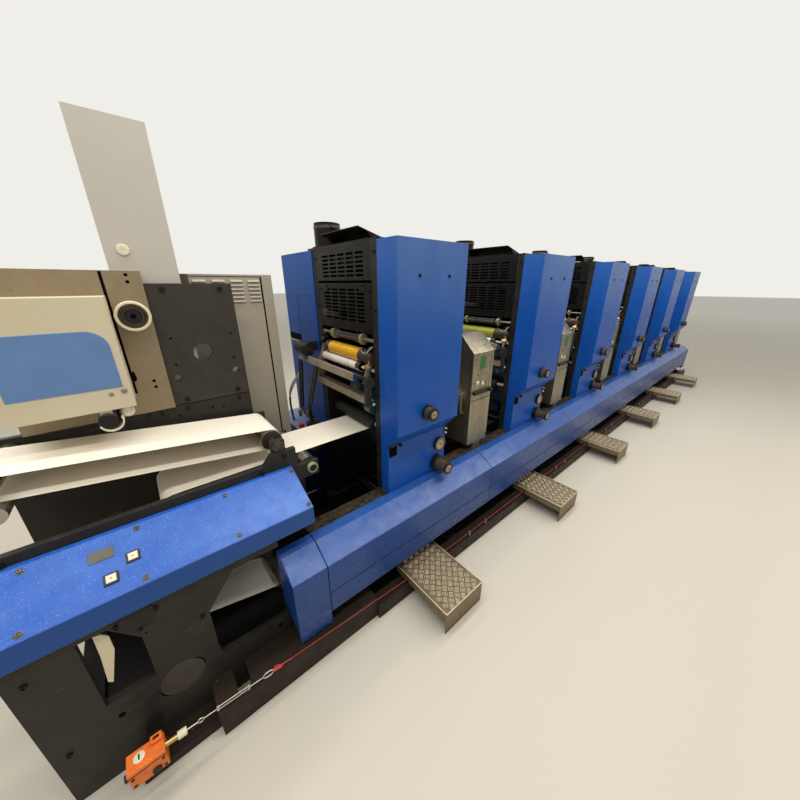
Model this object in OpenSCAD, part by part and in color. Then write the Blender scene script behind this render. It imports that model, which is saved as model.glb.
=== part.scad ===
// Narrow-web offset printing line: an infeed, six printing units in a row and a drying
// cabinet after each unit, on one welded base. All sizes are in millimetres.
// X runs along the line, the way the paper travels. Y runs away from the operator.
// Z is up from the floor. Before the last shift, X = 0 is the infeed side of the first
// unit and Y = 0 is the front face of the tall blue covers.

/* [Line] */
// Distance from one printing unit to the next
unit_pitch = 1250; // [1220:10:1350]
// Length of a printing unit along the line
unit_length = 460; // [440:5:480]
// Height of a printing unit above the floor
unit_height = 1868; // [1840:2:1900]
// Length of the infeed in front of the first unit
infeed_length = 1420; // [1380:10:1500]
// Length of the line that runs on past the last unit
outfeed_length = 520; // [500:5:600]

/* [Side frames] */
// Thickness of the plates that carry the rollers
frame_plate = 45; // [35:1:50]
// Clear width between the two plates of a unit
frame_gap = 550; // [540:2:570]
// Diameter of the tie bars between the plates
tie_d = 50; // [30:1:60]

/* [Base] */
// Height of the base beams
beam_height = 190; // [160:2:200]
// Width of the base beams
beam_width = 80; // [60:2:100]
// Height of the low sill along the front
sill_height = 85; // [60:1:90]
// How far the sill stands in front of the covers
sill_front = 140; // [135:1:150]
// Width of the sill
sill_width = 75; // [60:1:78]
// Height of the box that the infeed stands on
foot_height = 140; // [120:2:146]

/* [Plinth] */
// Thickness of the folded cover sheet
sheet = 3; // [2:0.5:4]
// How far the plinth stands in front of the covers
plinth_front = 93; // [85:1:100]
// Height of the plinth's lower edge
plinth_bottom = 220; // [210:2:240]
// Height of its front shoulder
plinth_shoulder = 500; // [480:2:520]
// Height of the ledge behind the slope
plinth_top = 564; // [550:2:580]
// Height of the lower edge of the two end blocks
end_block_bottom = 150; // [130:2:170]
// Length of an end block
end_block_length = 158; // [120:2:180]
// Gap between two neighbouring plinth covers
plinth_seam = 4; // [2:1:8]

/* [Steps] */
// Length of a step along the line
step_length = 290; // [240:5:320]
// Height of a step
step_height = 140; // [125:1:160]
// How far a step stands in front of the covers
step_front = 422; // [380:2:460]
// Depth of a step's side skirts
skirt_depth = 50; // [40:1:55]

/* [Unit covers] */
// Depth of the tall front cover
cover_depth = 145; // [130:1:150]
// Height of the lower front edge of the tall cover
cover_front_bottom = 942; // [900:2:980]
// Height of the seam between the tall cover and the lower one
cover_seam = 857; // [840:1:870]
// How far the lower cover is set back
cover_setback = 80; // [70:1:90]
// Height of the lower edge of the lower cover
lower_cover_bottom = 470; // [450:2:500]
// Depth of the gear cabinet at the back
gear_cabinet_depth = 477; // [440:1:500]

/* [Guards] */
// Thickness of a guard panel
guard_thickness = 18; // [14:1:22]
// Height of the upper guard, from the hinge line to the roof
upper_guard_height = 190; // [180:1:200]
// Height of the lower guard under the hinge line
lower_guard_height = 234; // [220:2:236]
// Rows of slots in the upper guard
upper_slot_rows = 6; // [4:1:7]
// Rows of slots in the lower guard
lower_slot_rows = 9; // [6:1:10]
// Slots in one row
slot_columns = 5; // [3:1:6]

/* [Hand knobs] */
// Diameter of the upper hand knob
upper_knob_d = 84; // [70:1:90]
// Length of the upper hand knob
upper_knob_length = 52; // [40:1:70]
// Diameter of the grip of the lower hand knob
lower_knob_d = 74; // [60:1:80]
// Length of the lower hand knob
lower_knob_length = 112; // [90:1:120]
// Diameter of the collar behind the lower knob's grip
collar_d = 104; // [80:1:108]
// Diameter of a knob shaft
knob_shaft_d = 20; // [14:1:24]
// Diameter of the dial beside the lower knob
dial_d = 88; // [70:1:92]

/* [Rollers] */
// Distance of the ink roller's centre under the roof
ink_roller_drop = 550; // [546:1:556]
// Diameter of the yellow ink roller
ink_roller_d = 76; // [64:1:80]
// Diameter of the bright metering roller
metering_roller_d = 50; // [40:1:54]
// Diameter of the ribbed feed roller on the paper
feed_roller_d = 76; // [60:1:80]
// Diameter of the printing cylinders
cylinder_d = 200; // [180:2:210]
// Diameter of the infeed idler
idler_d = 98; // [80:1:100]
// Diameter of the small idler before the first unit
small_idler_d = 78; // [60:1:80]
// Diameter of the fixed guide roller behind the console
guide_roller_d = 97; // [80:1:100]
// Diameter of the low guide rollers and those at the left end
slim_roller_d = 60; // [50:1:70]
// Diameter of the roller journals
journal_d = 24; // [16:1:30]
// Radial running clearance of every journal and pin
running_gap = 0.05; // [0.02:0.01:0.08]

/* [Paper web] */
// Width of the paper
web_width = 260; // [220:5:280]
// Thickness of the paper as modelled
web_thickness = 1; // [0.8:0.1:1.5]
// Height of the paper through the printing units
web_z = 860; // [855:1:870]
// Distance of the paper's near edge behind the cover face
web_near = 337; // [320:1:345]

/* [Drying cabinets] */
// Length of a drying cabinet along the line
dryer_length = 221; // [200:1:240]
// Height of its lower edge
dryer_bottom = 600; // [580:2:640]
// Height of its front edge at the top
dryer_front_top = 1258; // [1220:2:1300]
// Depth of a drying cabinet
dryer_depth = 222; // [200:1:228]
// Distance from a unit to the cabinet after it
dryer_offset = 264; // [250:2:290]

/* [Infeed] */
// Distance of the front plate under the console behind the cover face
front_plate_near = 15; // [5:1:40]
// Height of the console's underside
console_bottom = 684; // [660:2:700]
// Height of the front edge of the console's slope
console_front_top = 768; // [750:2:780]
// Height of the console's top
console_top = 868; // [850:2:880]
// Height of the top edge of the near side plate
infeed_plate_top = 905; // [880:1:920]
// Height of the top edge of the far side plate
far_plate_top = 1140; // [1120:2:1160]
// Thickness of the infeed side plates
infeed_plate = 25; // [20:1:30]
// Distance of the near side plate behind the cover face
infeed_plate_near = 225; // [224:1:235]
// Height of the upper back plate
back_plate_top = 1684; // [1640:2:1720]
// Height of the plate that carries the hub and the web cleaner
hub_plate_top = 1731; // [1700:1:1760]
// Height of the grey tower
tower_height = 2260; // [2200:10:2300]
// Height of the switchgear cabinet
switchgear_height = 1728; // [1700:2:1760]

/* [Exhaust] */
// Outer diameter of an exhaust spigot
spigot_d = 150; // [120:1:160]
// Wall of an exhaust spigot
spigot_wall = 5; // [3:0.5:8]
// Height of a spigot above the unit's roof
spigot_height = 130; // [80:5:150]

/* [Pull cord] */
// Diameter of the cord
cord_d = 4; // [3:0.5:6]
// Height of the cord above the floor
cord_z = 112; // [108:1:116]
// Height of the cord at the switch box
cord_switch_z = 200; // [190:1:202]
// Distance of the cord in front of the covers
cord_front = 128; // [126:1:130]

/* [Hidden] */

unit_count = 6;
last_unit_x = (unit_count - 1) * unit_pitch;
line_left = -infeed_length;
line_right = last_unit_x + unit_length + outfeed_length;

frame_near = cover_depth;
inner_near = frame_near + frame_plate;
inner_far = inner_near + frame_gap;
frame_far = inner_far + frame_plate;
gear_near = frame_far + 20;
gear_far = gear_near + gear_cabinet_depth;

roof_thickness = 10;
roof_top = unit_height + roof_thickness;
guard_hinge_z = unit_height - upper_guard_height;
guard_bottom = guard_hinge_z - lower_guard_height;

// The part is centred on the floor: half its length and half its depth
centre_x = (line_left + line_right) / 2;
centre_y = (gear_far - step_front) / 2;

// Colours
blue = [0.10, 0.25, 0.60];
dark = [0.16, 0.15, 0.14];
black = [0.07, 0.07, 0.07];
steel = [0.66, 0.66, 0.64];
grey = [0.60, 0.60, 0.58];
cream = [0.87, 0.82, 0.68];

module in_line() {
    translate([-centre_x, -centre_y, 0]) children();
}

module at_unit(number) {
    translate([(number - 1) * unit_pitch, 0, 0]) children();
}

module each_unit() {
    for (number = [1 : unit_count]) at_unit(number) children();
}

// A box given by its low corner and its high corner
module span(low, high) {
    translate(low) cube(high - low);
}

// Extrudes a (y, z) outline along X, from x_low to x_high
module along_x(x_low, x_high) {
    translate([x_low, 0, 0]) rotate([90, 0, 90]) linear_extrude(x_high - x_low) children();
}

// Extrudes an (x, z) outline along Y, from y_low to y_high
module along_y(y_low, y_high) {
    translate([0, y_high, 0]) rotate([90, 0, 0]) linear_extrude(y_high - y_low) children();
}

module span_2d(low, high) {
    translate(low) square(high - low);
}

// A round bar along Y
module bar_y(x, z, y_low, y_high, d) {
    translate([x, y_high, z]) rotate([90, 0, 0]) cylinder(d = d, h = y_high - y_low, $fn = 48);
}

// A round bar from one point to another
module rod(from, to, d) {
    step = to - from;
    translate(from) rotate([0, acos(step[2] / norm(step)), atan2(step[1], step[0])])
        cylinder(d = d, h = norm(step), $fn = 16);
}

// A hose along a list of points, a little thicker at its round bends
bend_swell = 1;

module hose(path, d) {
    union() {
        for (i = [1 : len(path) - 1]) rod(path[i - 1], path[i], d);
        for (i = [1 : len(path) - 2]) translate(path[i]) sphere(d = d + bend_swell, $fn = 16);
    }
}

// Base: a low sill, the infeed's foot and three long beams, on cross beams that lie on the floor,
// with an oil pan between them and an angled rail behind the plinth between the units

far_beam_y = gear_far - beam_width - 40;
middle_beam_y = inner_far - 20;
near_beam_y = frame_near - 10;
sill_back = -sill_front + sill_width;
beams_left = -60;
infeed_cross_x = -560;
outfeed_cross_x = line_right - 2 * beam_width;
foot_front = 120;
foot_left = -990;
foot_right = -245;
foot_notch = [-912, -861];
foot_lip = 12;
low_shelf_left = -1240;
low_shelf_front = 80;
low_shelf_height = 40;
front_plate_back = front_plate_near + infeed_plate;
switch_arm = [-1205, -1155];
switch_arm_height = 8;
pan_z = 60;
pan_sheet = 4;
rail_gap = 2;
rail_back = frame_near + 21;
rail_sheet = 10;
rail_drop = 8;
rail_top = plinth_top - rail_drop;

module long_beam(x_low, y)
    span([x_low, y, sill_height], [line_right, y + beam_width, beam_height]);

// An angle that stands on the near beam in the gap before or after a unit
module rail(x_low, x_high) {
    span([x_low, cover_setback, rail_top - rail_sheet], [x_high, rail_back, rail_top]);
    span([x_low, rail_back - rail_sheet, beam_height - 1], [x_high, rail_back, rail_top]);
}

module base_beams() color(dark) in_line() {
    span([foot_right, -sill_front, 0], [line_right, sill_back, sill_height]);
    for (y = [middle_beam_y, far_beam_y]) long_beam(beams_left, y);
    union() {
        long_beam(console_right, near_beam_y);
        rail(console_right, -rail_gap);
        for (number = [1 : unit_count - 1]) at_unit(number)
            rail(unit_length + rail_gap, unit_pitch - rail_gap);
        at_unit(unit_count) rail(unit_length + rail_gap, unit_length + outfeed_length - rail_gap);
    }
    difference() {
        span([foot_left, -foot_front, 0], [foot_right, front_plate_near, foot_height]);
        span([foot_notch[0], -foot_front + foot_lip, -1], [foot_notch[1], front_plate_near + 1,
            foot_height + 1]);
    }
    span([low_shelf_left, -low_shelf_front, 0], [foot_left, front_plate_near, low_shelf_height]);
}

module cross_beam(x, y_low, y_high)
    span([x, y_low, 0], [x + beam_width, y_high, sill_height]);

// A sheet that joins the cross beams and catches the oil, from corner to corner
module pan(low, high)
    span([low[0], low[1], pan_z], [high[0], high[1], pan_z + pan_sheet]);

module cross_beams() color(dark) in_line() {
    each_unit()
        for (x = [0, unit_length - beam_width]) cross_beam(x, sill_back, far_beam_y + beam_width);
    cross_beam(outfeed_cross_x, sill_back, far_beam_y + beam_width);
    for (x = [line_left, infeed_right - beam_width])
        cross_beam(x, front_plate_back, infeed_far_plate);
    pan([line_left, front_plate_back], [infeed_right + 1, infeed_far_plate]);
    pan([infeed_right, front_plate_near], [foot_right + 1, middle_beam_y + beam_width]);
    pan([foot_right, sill_back], [outfeed_cross_x + 1, middle_beam_y + beam_width]);
    // The arm that holds the safety switch
    span([switch_arm[0], box_near + 10, box_bottom - switch_arm_height],
        [switch_arm[1], front_plate_near, box_bottom]);
}

// Plinth: one folded cover a bay, and a deeper block at each end

plinth_start = -482;
ledge_y = 20;
ledge_gap = 2;
ledge_back = cover_setback - ledge_gap;
groove_z = plinth_bottom + 112;
groove_width = 6;
groove_depth = 1.5;

// The closed outline of the plinth, and the hollow inside it that is open below and behind
module plinth_outline(bottom)
    polygon([[-plinth_front, bottom], [-plinth_front, plinth_shoulder], [ledge_y, plinth_top],
        [ledge_back, plinth_top], [ledge_back, bottom]]);

module plinth_hollow(bottom)
    polygon([[-plinth_front + sheet, bottom - 1], [-plinth_front + sheet, plinth_shoulder - sheet * 0.7],
        [ledge_y, plinth_top - sheet], [ledge_back + 1, plinth_top - sheet], [ledge_back + 1, bottom - 1]]);

// A welded rib behind the steps that stands on a cross beam or on the infeed's foot, from the
// height base up
module plinth_rib(x, bottom, base)
    along_x(x, x + rib_thickness) {
        plinth_outline(bottom);
        span_2d([-step_back + rib_clearance, base], [min(ledge_back, front_plate_near), bottom + 1]);
    }

module plinth_bay(x_low, x_high) {
    difference() {
        along_x(x_low, x_high) plinth_outline(plinth_bottom);
        along_x(x_low - 1, x_high + 1) plinth_hollow(plinth_bottom);
        span([x_low - 1, -plinth_front - 1, groove_z], [x_high + 1, -plinth_front + groove_depth,
            groove_z + groove_width]);
    }
}

// An end block is closed at its outer end: closed_low and closed_high are that wall's thickness
module end_block(x_low, x_high, closed_low, closed_high) {
    difference() {
        along_x(x_low, x_high) plinth_outline(end_block_bottom);
        along_x(x_low + (closed_low > 0 ? closed_low : -1), x_high + (closed_high > 0 ? -closed_high : 1))
            plinth_hollow(end_block_bottom);
    }
}

rib_thickness = 6;
rib_inset = 30;
rib_clearance = 6;
plinth_end = plinth_start + unit_count * unit_pitch;

module plinth() color(blue) in_line() {
    for (bay = [0 : unit_count - 1]) {
        plinth_bay(plinth_start + bay * unit_pitch, plinth_start + (bay + 1) * unit_pitch - plinth_seam);
        for (x = [rib_inset, unit_length - rib_inset - rib_thickness])
            plinth_rib(bay * unit_pitch + x, plinth_bottom, sill_height);
    }
    end_block(plinth_start - plinth_seam - end_block_length, plinth_start - plinth_seam, sheet, 0);
    plinth_rib(infeed_cross_x, end_block_bottom, foot_height);
    end_block(plinth_end, line_right, 0, sheet);
    plinth_rib(outfeed_cross_x + rib_inset, end_block_bottom, sill_height);
}

// Steps: folded tread plates that stand on their front plate and on two lugs on the sill

tread = 4;
step_x = -36;
step_back = 30;
step_lug = 40;
cord_notch = 14;

module steps() color(steel) in_line() each_unit() {
    difference() {
        union() {
            span([step_x, -step_front, 0], [step_x + step_length, -step_front + tread, step_height]);
            span([step_x, -step_front, step_height - skirt_depth], [step_x + step_length, -step_back,
                step_height]);
        }
        span([step_x + tread, -step_front + tread, step_height - skirt_depth - 1],
            [step_x + step_length - tread, -step_back + 1, step_height - tread]);
        // A notch in both skirts that the cord runs through
        span([step_x - 1, -cord_front - cord_notch / 2, step_height - skirt_depth - 1],
            [step_x + step_length + 1, -cord_front + cord_notch / 2, cord_z + cord_notch]);
    }
    for (x = [step_x + tread, step_x + step_length - tread - step_lug])
        span([x, sill_back - step_lug, sill_height], [x + step_lug, sill_back, step_height - tread]);
}

// Printing unit: side frames

// Gap between two cylinders, or between a cylinder and the paper
nip_gap = 0.5;

upper_knob_x = 205;
upper_knob_z = 1033;
lower_knob_x = 373;
lower_knob_z = 625;
dial_x = 398;
dial_z = 745;
ink_roller_x = 18;
ink_roller_z = unit_height - ink_roller_drop;
metering_x = 0;
metering_z = ink_roller_z - sqrt(pow(nip_gap + (ink_roller_d + metering_roller_d) / 2, 2)
    - pow(ink_roller_x - metering_x, 2));
cylinder_x = 230;
hinge_pin_d = 10;
hinge_x = guard_thickness / 2;

knob_bore_d = knob_shaft_d + 2 * running_gap;
knob_places = [[upper_knob_x, upper_knob_z], [lower_knob_x, lower_knob_z]];

module frame_outline() {
    difference() {
        span_2d([0, beam_height], [unit_length, unit_height]);
        translate([hinge_x, guard_hinge_z]) circle(d = hinge_pin_d + 2 * running_gap, $fn = 48);
        translate([ink_roller_x, ink_roller_z]) circle(d = journal_d + 2 * running_gap, $fn = 48);
    }
}

module front_frames() color(dark) in_line() each_unit() {
    difference() {
        along_y(frame_near, inner_near) frame_outline();
        for (place = knob_places)
            bar_y(place[0], place[1], frame_near - 1, inner_near + 1, knob_bore_d);
    }
}

module rear_frames() color(dark) in_line() each_unit()
    along_y(inner_far, frame_far) frame_outline();

tie_inset = 60;
tie_low_z = 420;
tie_places = [[tie_inset, unit_height - 68], [unit_length - tie_inset, unit_height - 68],
    [unit_length - tie_inset, ink_roller_z + 12], [tie_inset, tie_low_z],
    [unit_length - tie_inset, tie_low_z]];

// The bar over the ink roller, with the two discs that stir the ink
stirrer_x = 12;
stirrer_z = guard_bottom - 36;
stirrer_d = 20;
disc_d = 58;
disc_length = 14;
disc_places = [296, 597];

module tie_bars() color(steel) in_line() each_unit() {
    for (place = tie_places) bar_y(place[0], place[1], inner_near, inner_far, tie_d);
    union() {
        bar_y(stirrer_x, stirrer_z, inner_near, inner_far, stirrer_d);
        for (y = disc_places) bar_y(stirrer_x, stirrer_z, y, y + disc_length, disc_d);
    }
}

// Printing unit: covers

module tall_cover_outline(inset) {
    polygon([[inset, cover_front_bottom + inset * 0.4], [inset, unit_height - inset],
        [cover_depth + (inset > 0 ? 1 : 0), unit_height - inset],
        [cover_depth + (inset > 0 ? 1 : 0), cover_seam + inset],
        [cover_setback + inset * 0.4, cover_seam + inset]]);
}

module tall_covers() color(blue) in_line() each_unit() {
    difference() {
        along_x(0, unit_length) tall_cover_outline(0);
        along_x(sheet, unit_length - sheet) tall_cover_outline(sheet);
        bar_y(upper_knob_x, upper_knob_z, -1, sheet + 1, knob_shaft_d + 10);
    }
}

lower_cover_length = unit_length - 8;
seam_gap = 2;

module lower_covers() color(blue) in_line() each_unit() {
    difference() {
        span([0, cover_setback, lower_cover_bottom], [lower_cover_length, cover_depth,
            cover_seam - seam_gap]);
        span([sheet, cover_setback + sheet, lower_cover_bottom + sheet], [lower_cover_length - sheet,
            cover_depth + 1, cover_seam - seam_gap - sheet]);
        bar_y(lower_knob_x, lower_knob_z, cover_setback - 1, cover_setback + sheet + 1, knob_shaft_d + 10);
    }
}

module roof_plates() color(black) in_line() each_unit()
    span([0, frame_near, unit_height], [unit_length, gear_near + roof_lap, roof_top]);

// How far the roof plate laps over the gear cabinet
roof_lap = 40;

// A raised flap over the ink rollers, higher at the infeed side
flap_tilt = 15;
flap_length = 164;
flap_near = 280;
flap_far = 660;
flap_x = 150;

module roof_flaps() color(black) in_line() each_unit() {
    union() {
        translate([flap_x, 0, roof_top + 12]) rotate([0, flap_tilt, 0])
            span([-flap_length, flap_near, 0], [0, flap_far, 4]);
        for (y = [flap_near, flap_far - 4])
            along_y(y, y + 4) polygon([[flap_x, roof_top], [flap_x, roof_top + 13], [flap_x - 110,
                roof_top + 42], [flap_x - 60, roof_top]]);
    }
}

module exhaust_spigots() color(black) in_line() each_unit() {
    translate([spigot_x, spigot_y, roof_top]) difference() {
        cylinder(d = spigot_d, h = spigot_height, $fn = 64);
        translate([0, 0, 10]) cylinder(d = spigot_d - 2 * spigot_wall, h = spigot_height, $fn = 64);
    }
}

spigot_x = 88;
spigot_y = 750;

// Guards: slotted panels between the frame plates

guard_gap = 5;
guard_near = inner_near + guard_gap;
guard_far = inner_far - guard_gap;
slot_margin = 62;
slot_bar = 16;
slot_height = 11;

module slot_grid(z_low, z_high, rows) {
    slot_width = (guard_far - guard_near - 2 * slot_margin - (slot_columns - 1) * slot_bar) / slot_columns;
    for (column = [0 : slot_columns - 1], row = [0 : rows - 1])
        translate([-1, guard_near + slot_margin + column * (slot_width + slot_bar),
            z_low + (z_high - z_low) * (row + 0.5) / rows - slot_height / 2])
            cube([guard_thickness + 2, slot_width, slot_height]);
}

upper_guard_bottom = guard_hinge_z + 20;
guard_top = guard_hinge_z + 8;

module upper_guards() color(black) in_line() each_unit() {
    difference() {
        span([0, inner_near, upper_guard_bottom], [guard_thickness, inner_far, unit_height]);
        slot_grid(upper_guard_bottom + 14, unit_height - 34, upper_slot_rows);
    }
}

module guard(number) color(black) in_line() at_unit(number) {
    union() {
        difference() {
            span([0, guard_near, guard_bottom], [guard_thickness, guard_far, guard_top]);
            slot_grid(guard_bottom + 46, guard_top - 24, lower_slot_rows);
        }
        bar_y(hinge_x, guard_hinge_z, inner_near - 20, guard_near + 1, hinge_pin_d);
        bar_y(hinge_x, guard_hinge_z, guard_far - 1, inner_far + 20, hinge_pin_d);
        handle();
    }
}

handle_near = 453;
handle_length = 171;
handle_z = guard_bottom + 84;

module handle() {
    for (y = [handle_near, handle_near + handle_length - 12])
        span([-28, y, handle_z - 6], [1, y + 12, handle_z + 6]);
    span([-34, handle_near, handle_z - 8], [-26, handle_near + handle_length, handle_z + 8]);
}

exit_panel_bottom = 960;

module exit_panels() color(dark) in_line() each_unit()
    span([unit_length - 4, inner_near, exit_panel_bottom], [unit_length, inner_far, unit_height]);

// The gear cabinet, with the low drive box that stands out at its infeed side
drive_box_near = 872;
drive_box_left = -178;
drive_box_top = 720;
door_seam_drop = 258;
door_seam = 4;

module gear_cabinets() color(blue) in_line() each_unit() {
    difference() {
        union() {
            span([0, gear_near, beam_height], [unit_length, gear_far, unit_height]);
            span([drive_box_left, drive_box_near, beam_height], [0, gear_far, drive_box_top]);
        }
        span([-1, gear_near - 1, unit_height - door_seam_drop - door_seam / 2],
            [2, gear_far + 1, unit_height - door_seam_drop + door_seam / 2]);
    }
}

// Printing unit: rollers and inking

ink_face = [278, 690];
metering_face = [300, 719];
metering_shaft_d = 16;
journal_depth = 20;

module ink_roller(number) color([0.90, 0.68, 0.08]) in_line() at_unit(number) {
    union() {
        bar_y(ink_roller_x, ink_roller_z, ink_face[0], ink_face[1], ink_roller_d);
        bar_y(ink_roller_x, ink_roller_z, inner_near - journal_depth, inner_far + journal_depth, journal_d);
    }
}

// The bright metering roller under the ink roller, and the feed roller that rides on the paper
feed_roller_x = 70;
feed_roller_z = web_z + web_thickness / 2 + nip_gap + feed_roller_d / 2;
feed_face = [300, 630];

module metering_rollers() color(steel) in_line() each_unit() {
    union() {
        bar_y(metering_x, metering_z, metering_face[0], metering_face[1], metering_roller_d);
        bar_y(metering_x, metering_z, inner_near, inner_far, metering_shaft_d);
    }
    union() {
        bar_y(feed_roller_x, feed_roller_z, feed_face[0], feed_face[1], feed_roller_d);
        bar_y(feed_roller_x, feed_roller_z, inner_near, inner_far, journal_d);
    }
}

// Ink fountain: a bent trough on a square bar, held by a cheek at each end. Its outlines are
// given as [x, z] from the ink roller's height.
tray_cheek = 12;
trough = [[-118, -56], [-60, -82], [-30, -102], [-30, -114], [-66, -96], [-118, -70]];
trough_bar = [[-60, -233], [-20, -233], [-20, -193], [-60, -193]];
trough_cheek = [[-70, -102], [-60, -120], [-60, -233], [-20, -233], [-20, -150], [20, -140], [20, -118],
    [-20, -88]];

module ink_trays() color(grey) in_line() each_unit() translate([0, 0, ink_roller_z]) {
    union() {
        along_y(inner_near + tray_cheek, inner_far - tray_cheek) polygon(trough);
        along_y(inner_near, inner_far) polygon(trough_bar);
        for (y = [inner_near, inner_far - tray_cheek])
            along_y(y, y + tray_cheek) polygon(trough_cheek);
    }
}

cylinder_side_gap = 25;
cylinder_shaft_d = 60;

module cylinder_row(z) {
    union() {
        bar_y(cylinder_x, z, inner_near + cylinder_side_gap, inner_far - cylinder_side_gap, cylinder_d);
        bar_y(cylinder_x, z, inner_near, inner_far, cylinder_shaft_d);
    }
}

blanket_z = web_z + web_thickness / 2 + nip_gap + cylinder_d / 2;
plate_z = blanket_z + cylinder_d + nip_gap;
impression_z = web_z - web_thickness / 2 - nip_gap - cylinder_d / 2;

module printing_cylinders() color(steel) in_line() each_unit()
    for (z = [plate_z, blanket_z, impression_z]) cylinder_row(z);

// Ink supply: a motor at the gear side and a pump under it, joined to the trough by two hoses

motor_x = -105;
motor_z = ink_roller_z - 20;
motor_d = 84;
motor_near = inner_far + 4;
motor_far = 860;
motor_bracket = 12;
pump_x = -110;
pump_y = 770;
pump_z = [600, 800];
pump_d = 90;
pump_arm = [750, 780];
hose_d = 22;
drain_at = [-104, 700, ink_roller_z - 92];
drain_y = 888;
lift_at = [-90, 672, ink_roller_z - 108];
hose_seat = pump_z[1] + 0.3;

module agitator_motors() color(dark) in_line() each_unit() {
    union() {
        bar_y(motor_x, motor_z, motor_near, motor_far, motor_d);
        span([motor_x, motor_far - 2 * motor_bracket, motor_z - 30], [0, motor_far - motor_bracket,
            motor_z + 30]);
    }
    union() {
        translate([pump_x, pump_y, pump_z[0]]) cylinder(d = pump_d, h = pump_z[1] - pump_z[0], $fn = 48);
        span([pump_x, pump_arm[0], pump_z[0] + 40], [0, pump_arm[1], pump_z[0] + 100]);
    }
}

// One hose brings the ink back from the trough's drain, the other one lifts it from the pump
module ink_hoses() color(black) in_line() each_unit() {
    hose([drain_at, [drain_at[0], drain_y, drain_at[2]], [drain_at[0], drain_y, drain_at[2] - 30],
        [-128, drain_y, 880], [-122, 850, 838], [-112, 798, 836], [-112, 798, hose_seat]], hose_d);
    hose([lift_at, [-104, 680, lift_at[2] - 50], [-148, 712, 943], [-140, 740, 866], [-120, 752, 844],
        [-120, 752, hose_seat]], hose_d);
}

module dials() color(black) in_line() each_unit()
    bar_y(dial_x, dial_z, cover_setback - 12, cover_setback, dial_d);

knob_gap = 5;

module upper_knob(number) color(dark) in_line() at_unit(number) {
    union() {
        bar_y(upper_knob_x, upper_knob_z, -knob_gap - upper_knob_length, -knob_gap, upper_knob_d);
        bar_y(upper_knob_x, upper_knob_z, -knob_gap - 1, inner_near - knob_gap, knob_shaft_d);
    }
}

lower_knob_back = cover_setback - knob_gap;
collar_length = 22;

module lower_knob(number) color(dark) in_line() at_unit(number) {
    union() {
        bar_y(lower_knob_x, lower_knob_z, lower_knob_back - lower_knob_length, lower_knob_back, lower_knob_d);
        bar_y(lower_knob_x, lower_knob_z, lower_knob_back - collar_length, lower_knob_back, collar_d);
        bar_y(lower_knob_x, lower_knob_z, lower_knob_back - 1, inner_near - knob_gap, knob_shaft_d);
    }
}

// Drying cabinets

dryer_near = 105;
dryer_chamfer = 115;
dryer_leg_inset = 70;
dryer_leg = 80;
dryer_leg_depth = 60;

module drying_cabinets() color(steel) in_line() each_unit() translate([unit_length + dryer_offset, 0, 0]) {
    union() {
        along_x(0, dryer_length)
            polygon([[dryer_near, dryer_bottom], [dryer_near, dryer_front_top],
                [dryer_near + dryer_chamfer, dryer_front_top + dryer_chamfer],
                [dryer_near + dryer_depth, dryer_front_top + dryer_chamfer],
                [dryer_near + dryer_depth, dryer_bottom]]);
        span([dryer_leg_inset, rail_back - dryer_leg_depth, rail_top],
            [dryer_leg_inset + dryer_leg, rail_back, dryer_bottom + 1]);
    }
}

// Infeed

infeed_right = -447;
infeed_far_plate = 640;
far_plate_back = infeed_far_plate + infeed_plate;
near_plate_back = infeed_plate_near + infeed_plate;

// The paper runs a small gap off every roller
contact_gap = 0.3;
paper_lift = contact_gap + web_thickness / 2;

// Places of the rollers, as [x, z]
idler_at = [-518, 976];
small_idler_at = [-376, web_z - paper_lift - small_idler_d / 2];
top_roller_at = [line_left + 50, 1092];
second_roller_at = [line_left + 50, 1006];
guide_roller_at = [-935, web_z - paper_lift - guide_roller_d / 2];
low_left_at = [-1000, 203];
low_right_at = [-585, 104];
ear_height = 28;

// The edges of the side plates: the ear that holds the idler, and the arm of the small idler
ear_left = -560;
ear_slope = 40;
arm_right = -340;
arm_top = 850;
arm_bottom = 772;

module infeed_plate_outline(bottom, ear_top) {
    difference() {
        polygon([[line_left, bottom], [line_left, infeed_plate_top], [ear_left - ear_slope, infeed_plate_top],
            [ear_left, ear_top], [infeed_right, ear_top],
            [infeed_right, arm_top], [arm_right, arm_top], [arm_right, arm_bottom],
            [infeed_right, arm_bottom], [infeed_right, bottom]]);
        bearing_bores();
    }
}

// The block behind the near ear that the idler turns in, which stands a little above it
block_near = near_plate_back - 10;
block_far = near_plate_back + 22;
block_half = 30;
block_foot = 76;
ear_drop = 23;

module idler_block()
    along_y(block_near, block_far) difference() {
        span_2d([idler_at[0] - block_half, idler_at[1] - block_foot], [idler_at[0] + block_half,
            idler_at[1] + ear_height]);
        bearing_bores();
    }

// The front plate under the console, which ends at the plinth: its two windows and its oval hole
front_plate_right = plinth_start - plinth_seam - end_block_length - 3;
right_window = [[-928, 502], [-824, 640], [front_plate_right + 1, 640], [front_plate_right + 1, 240],
    [-918, 252], [-930, 282]];
left_window = [[-1263, 652], [-1190, 652], [-1122, 552], [-1124, 349], [-1263, 349]];
oval_hole = [[-1084, 254], [-1036, 276]];
oval_hole_d = 104;

module front_plate_outline() {
    difference() {
        span_2d([line_left, 0], [front_plate_right, console_bottom]);
        polygon(right_window);
        polygon(left_window);
    }
}

// The oval hole is blind: two round pockets and the slot between them
module oval_pocket()
    translate([0, front_plate_near - 1, 0]) along_y(0, infeed_plate / 2) {
        for (end = oval_hole) translate(end) circle(d = oval_hole_d, $fn = 64);
        slot = oval_hole[1] - oval_hole[0];
        across = oval_hole_d / 2 * [-slot[1], slot[0]] / norm(slot);
        polygon([oval_hole[0] - across, oval_hole[1] - across, oval_hole[1] + across,
            oval_hole[0] + across]);
    }

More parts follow.
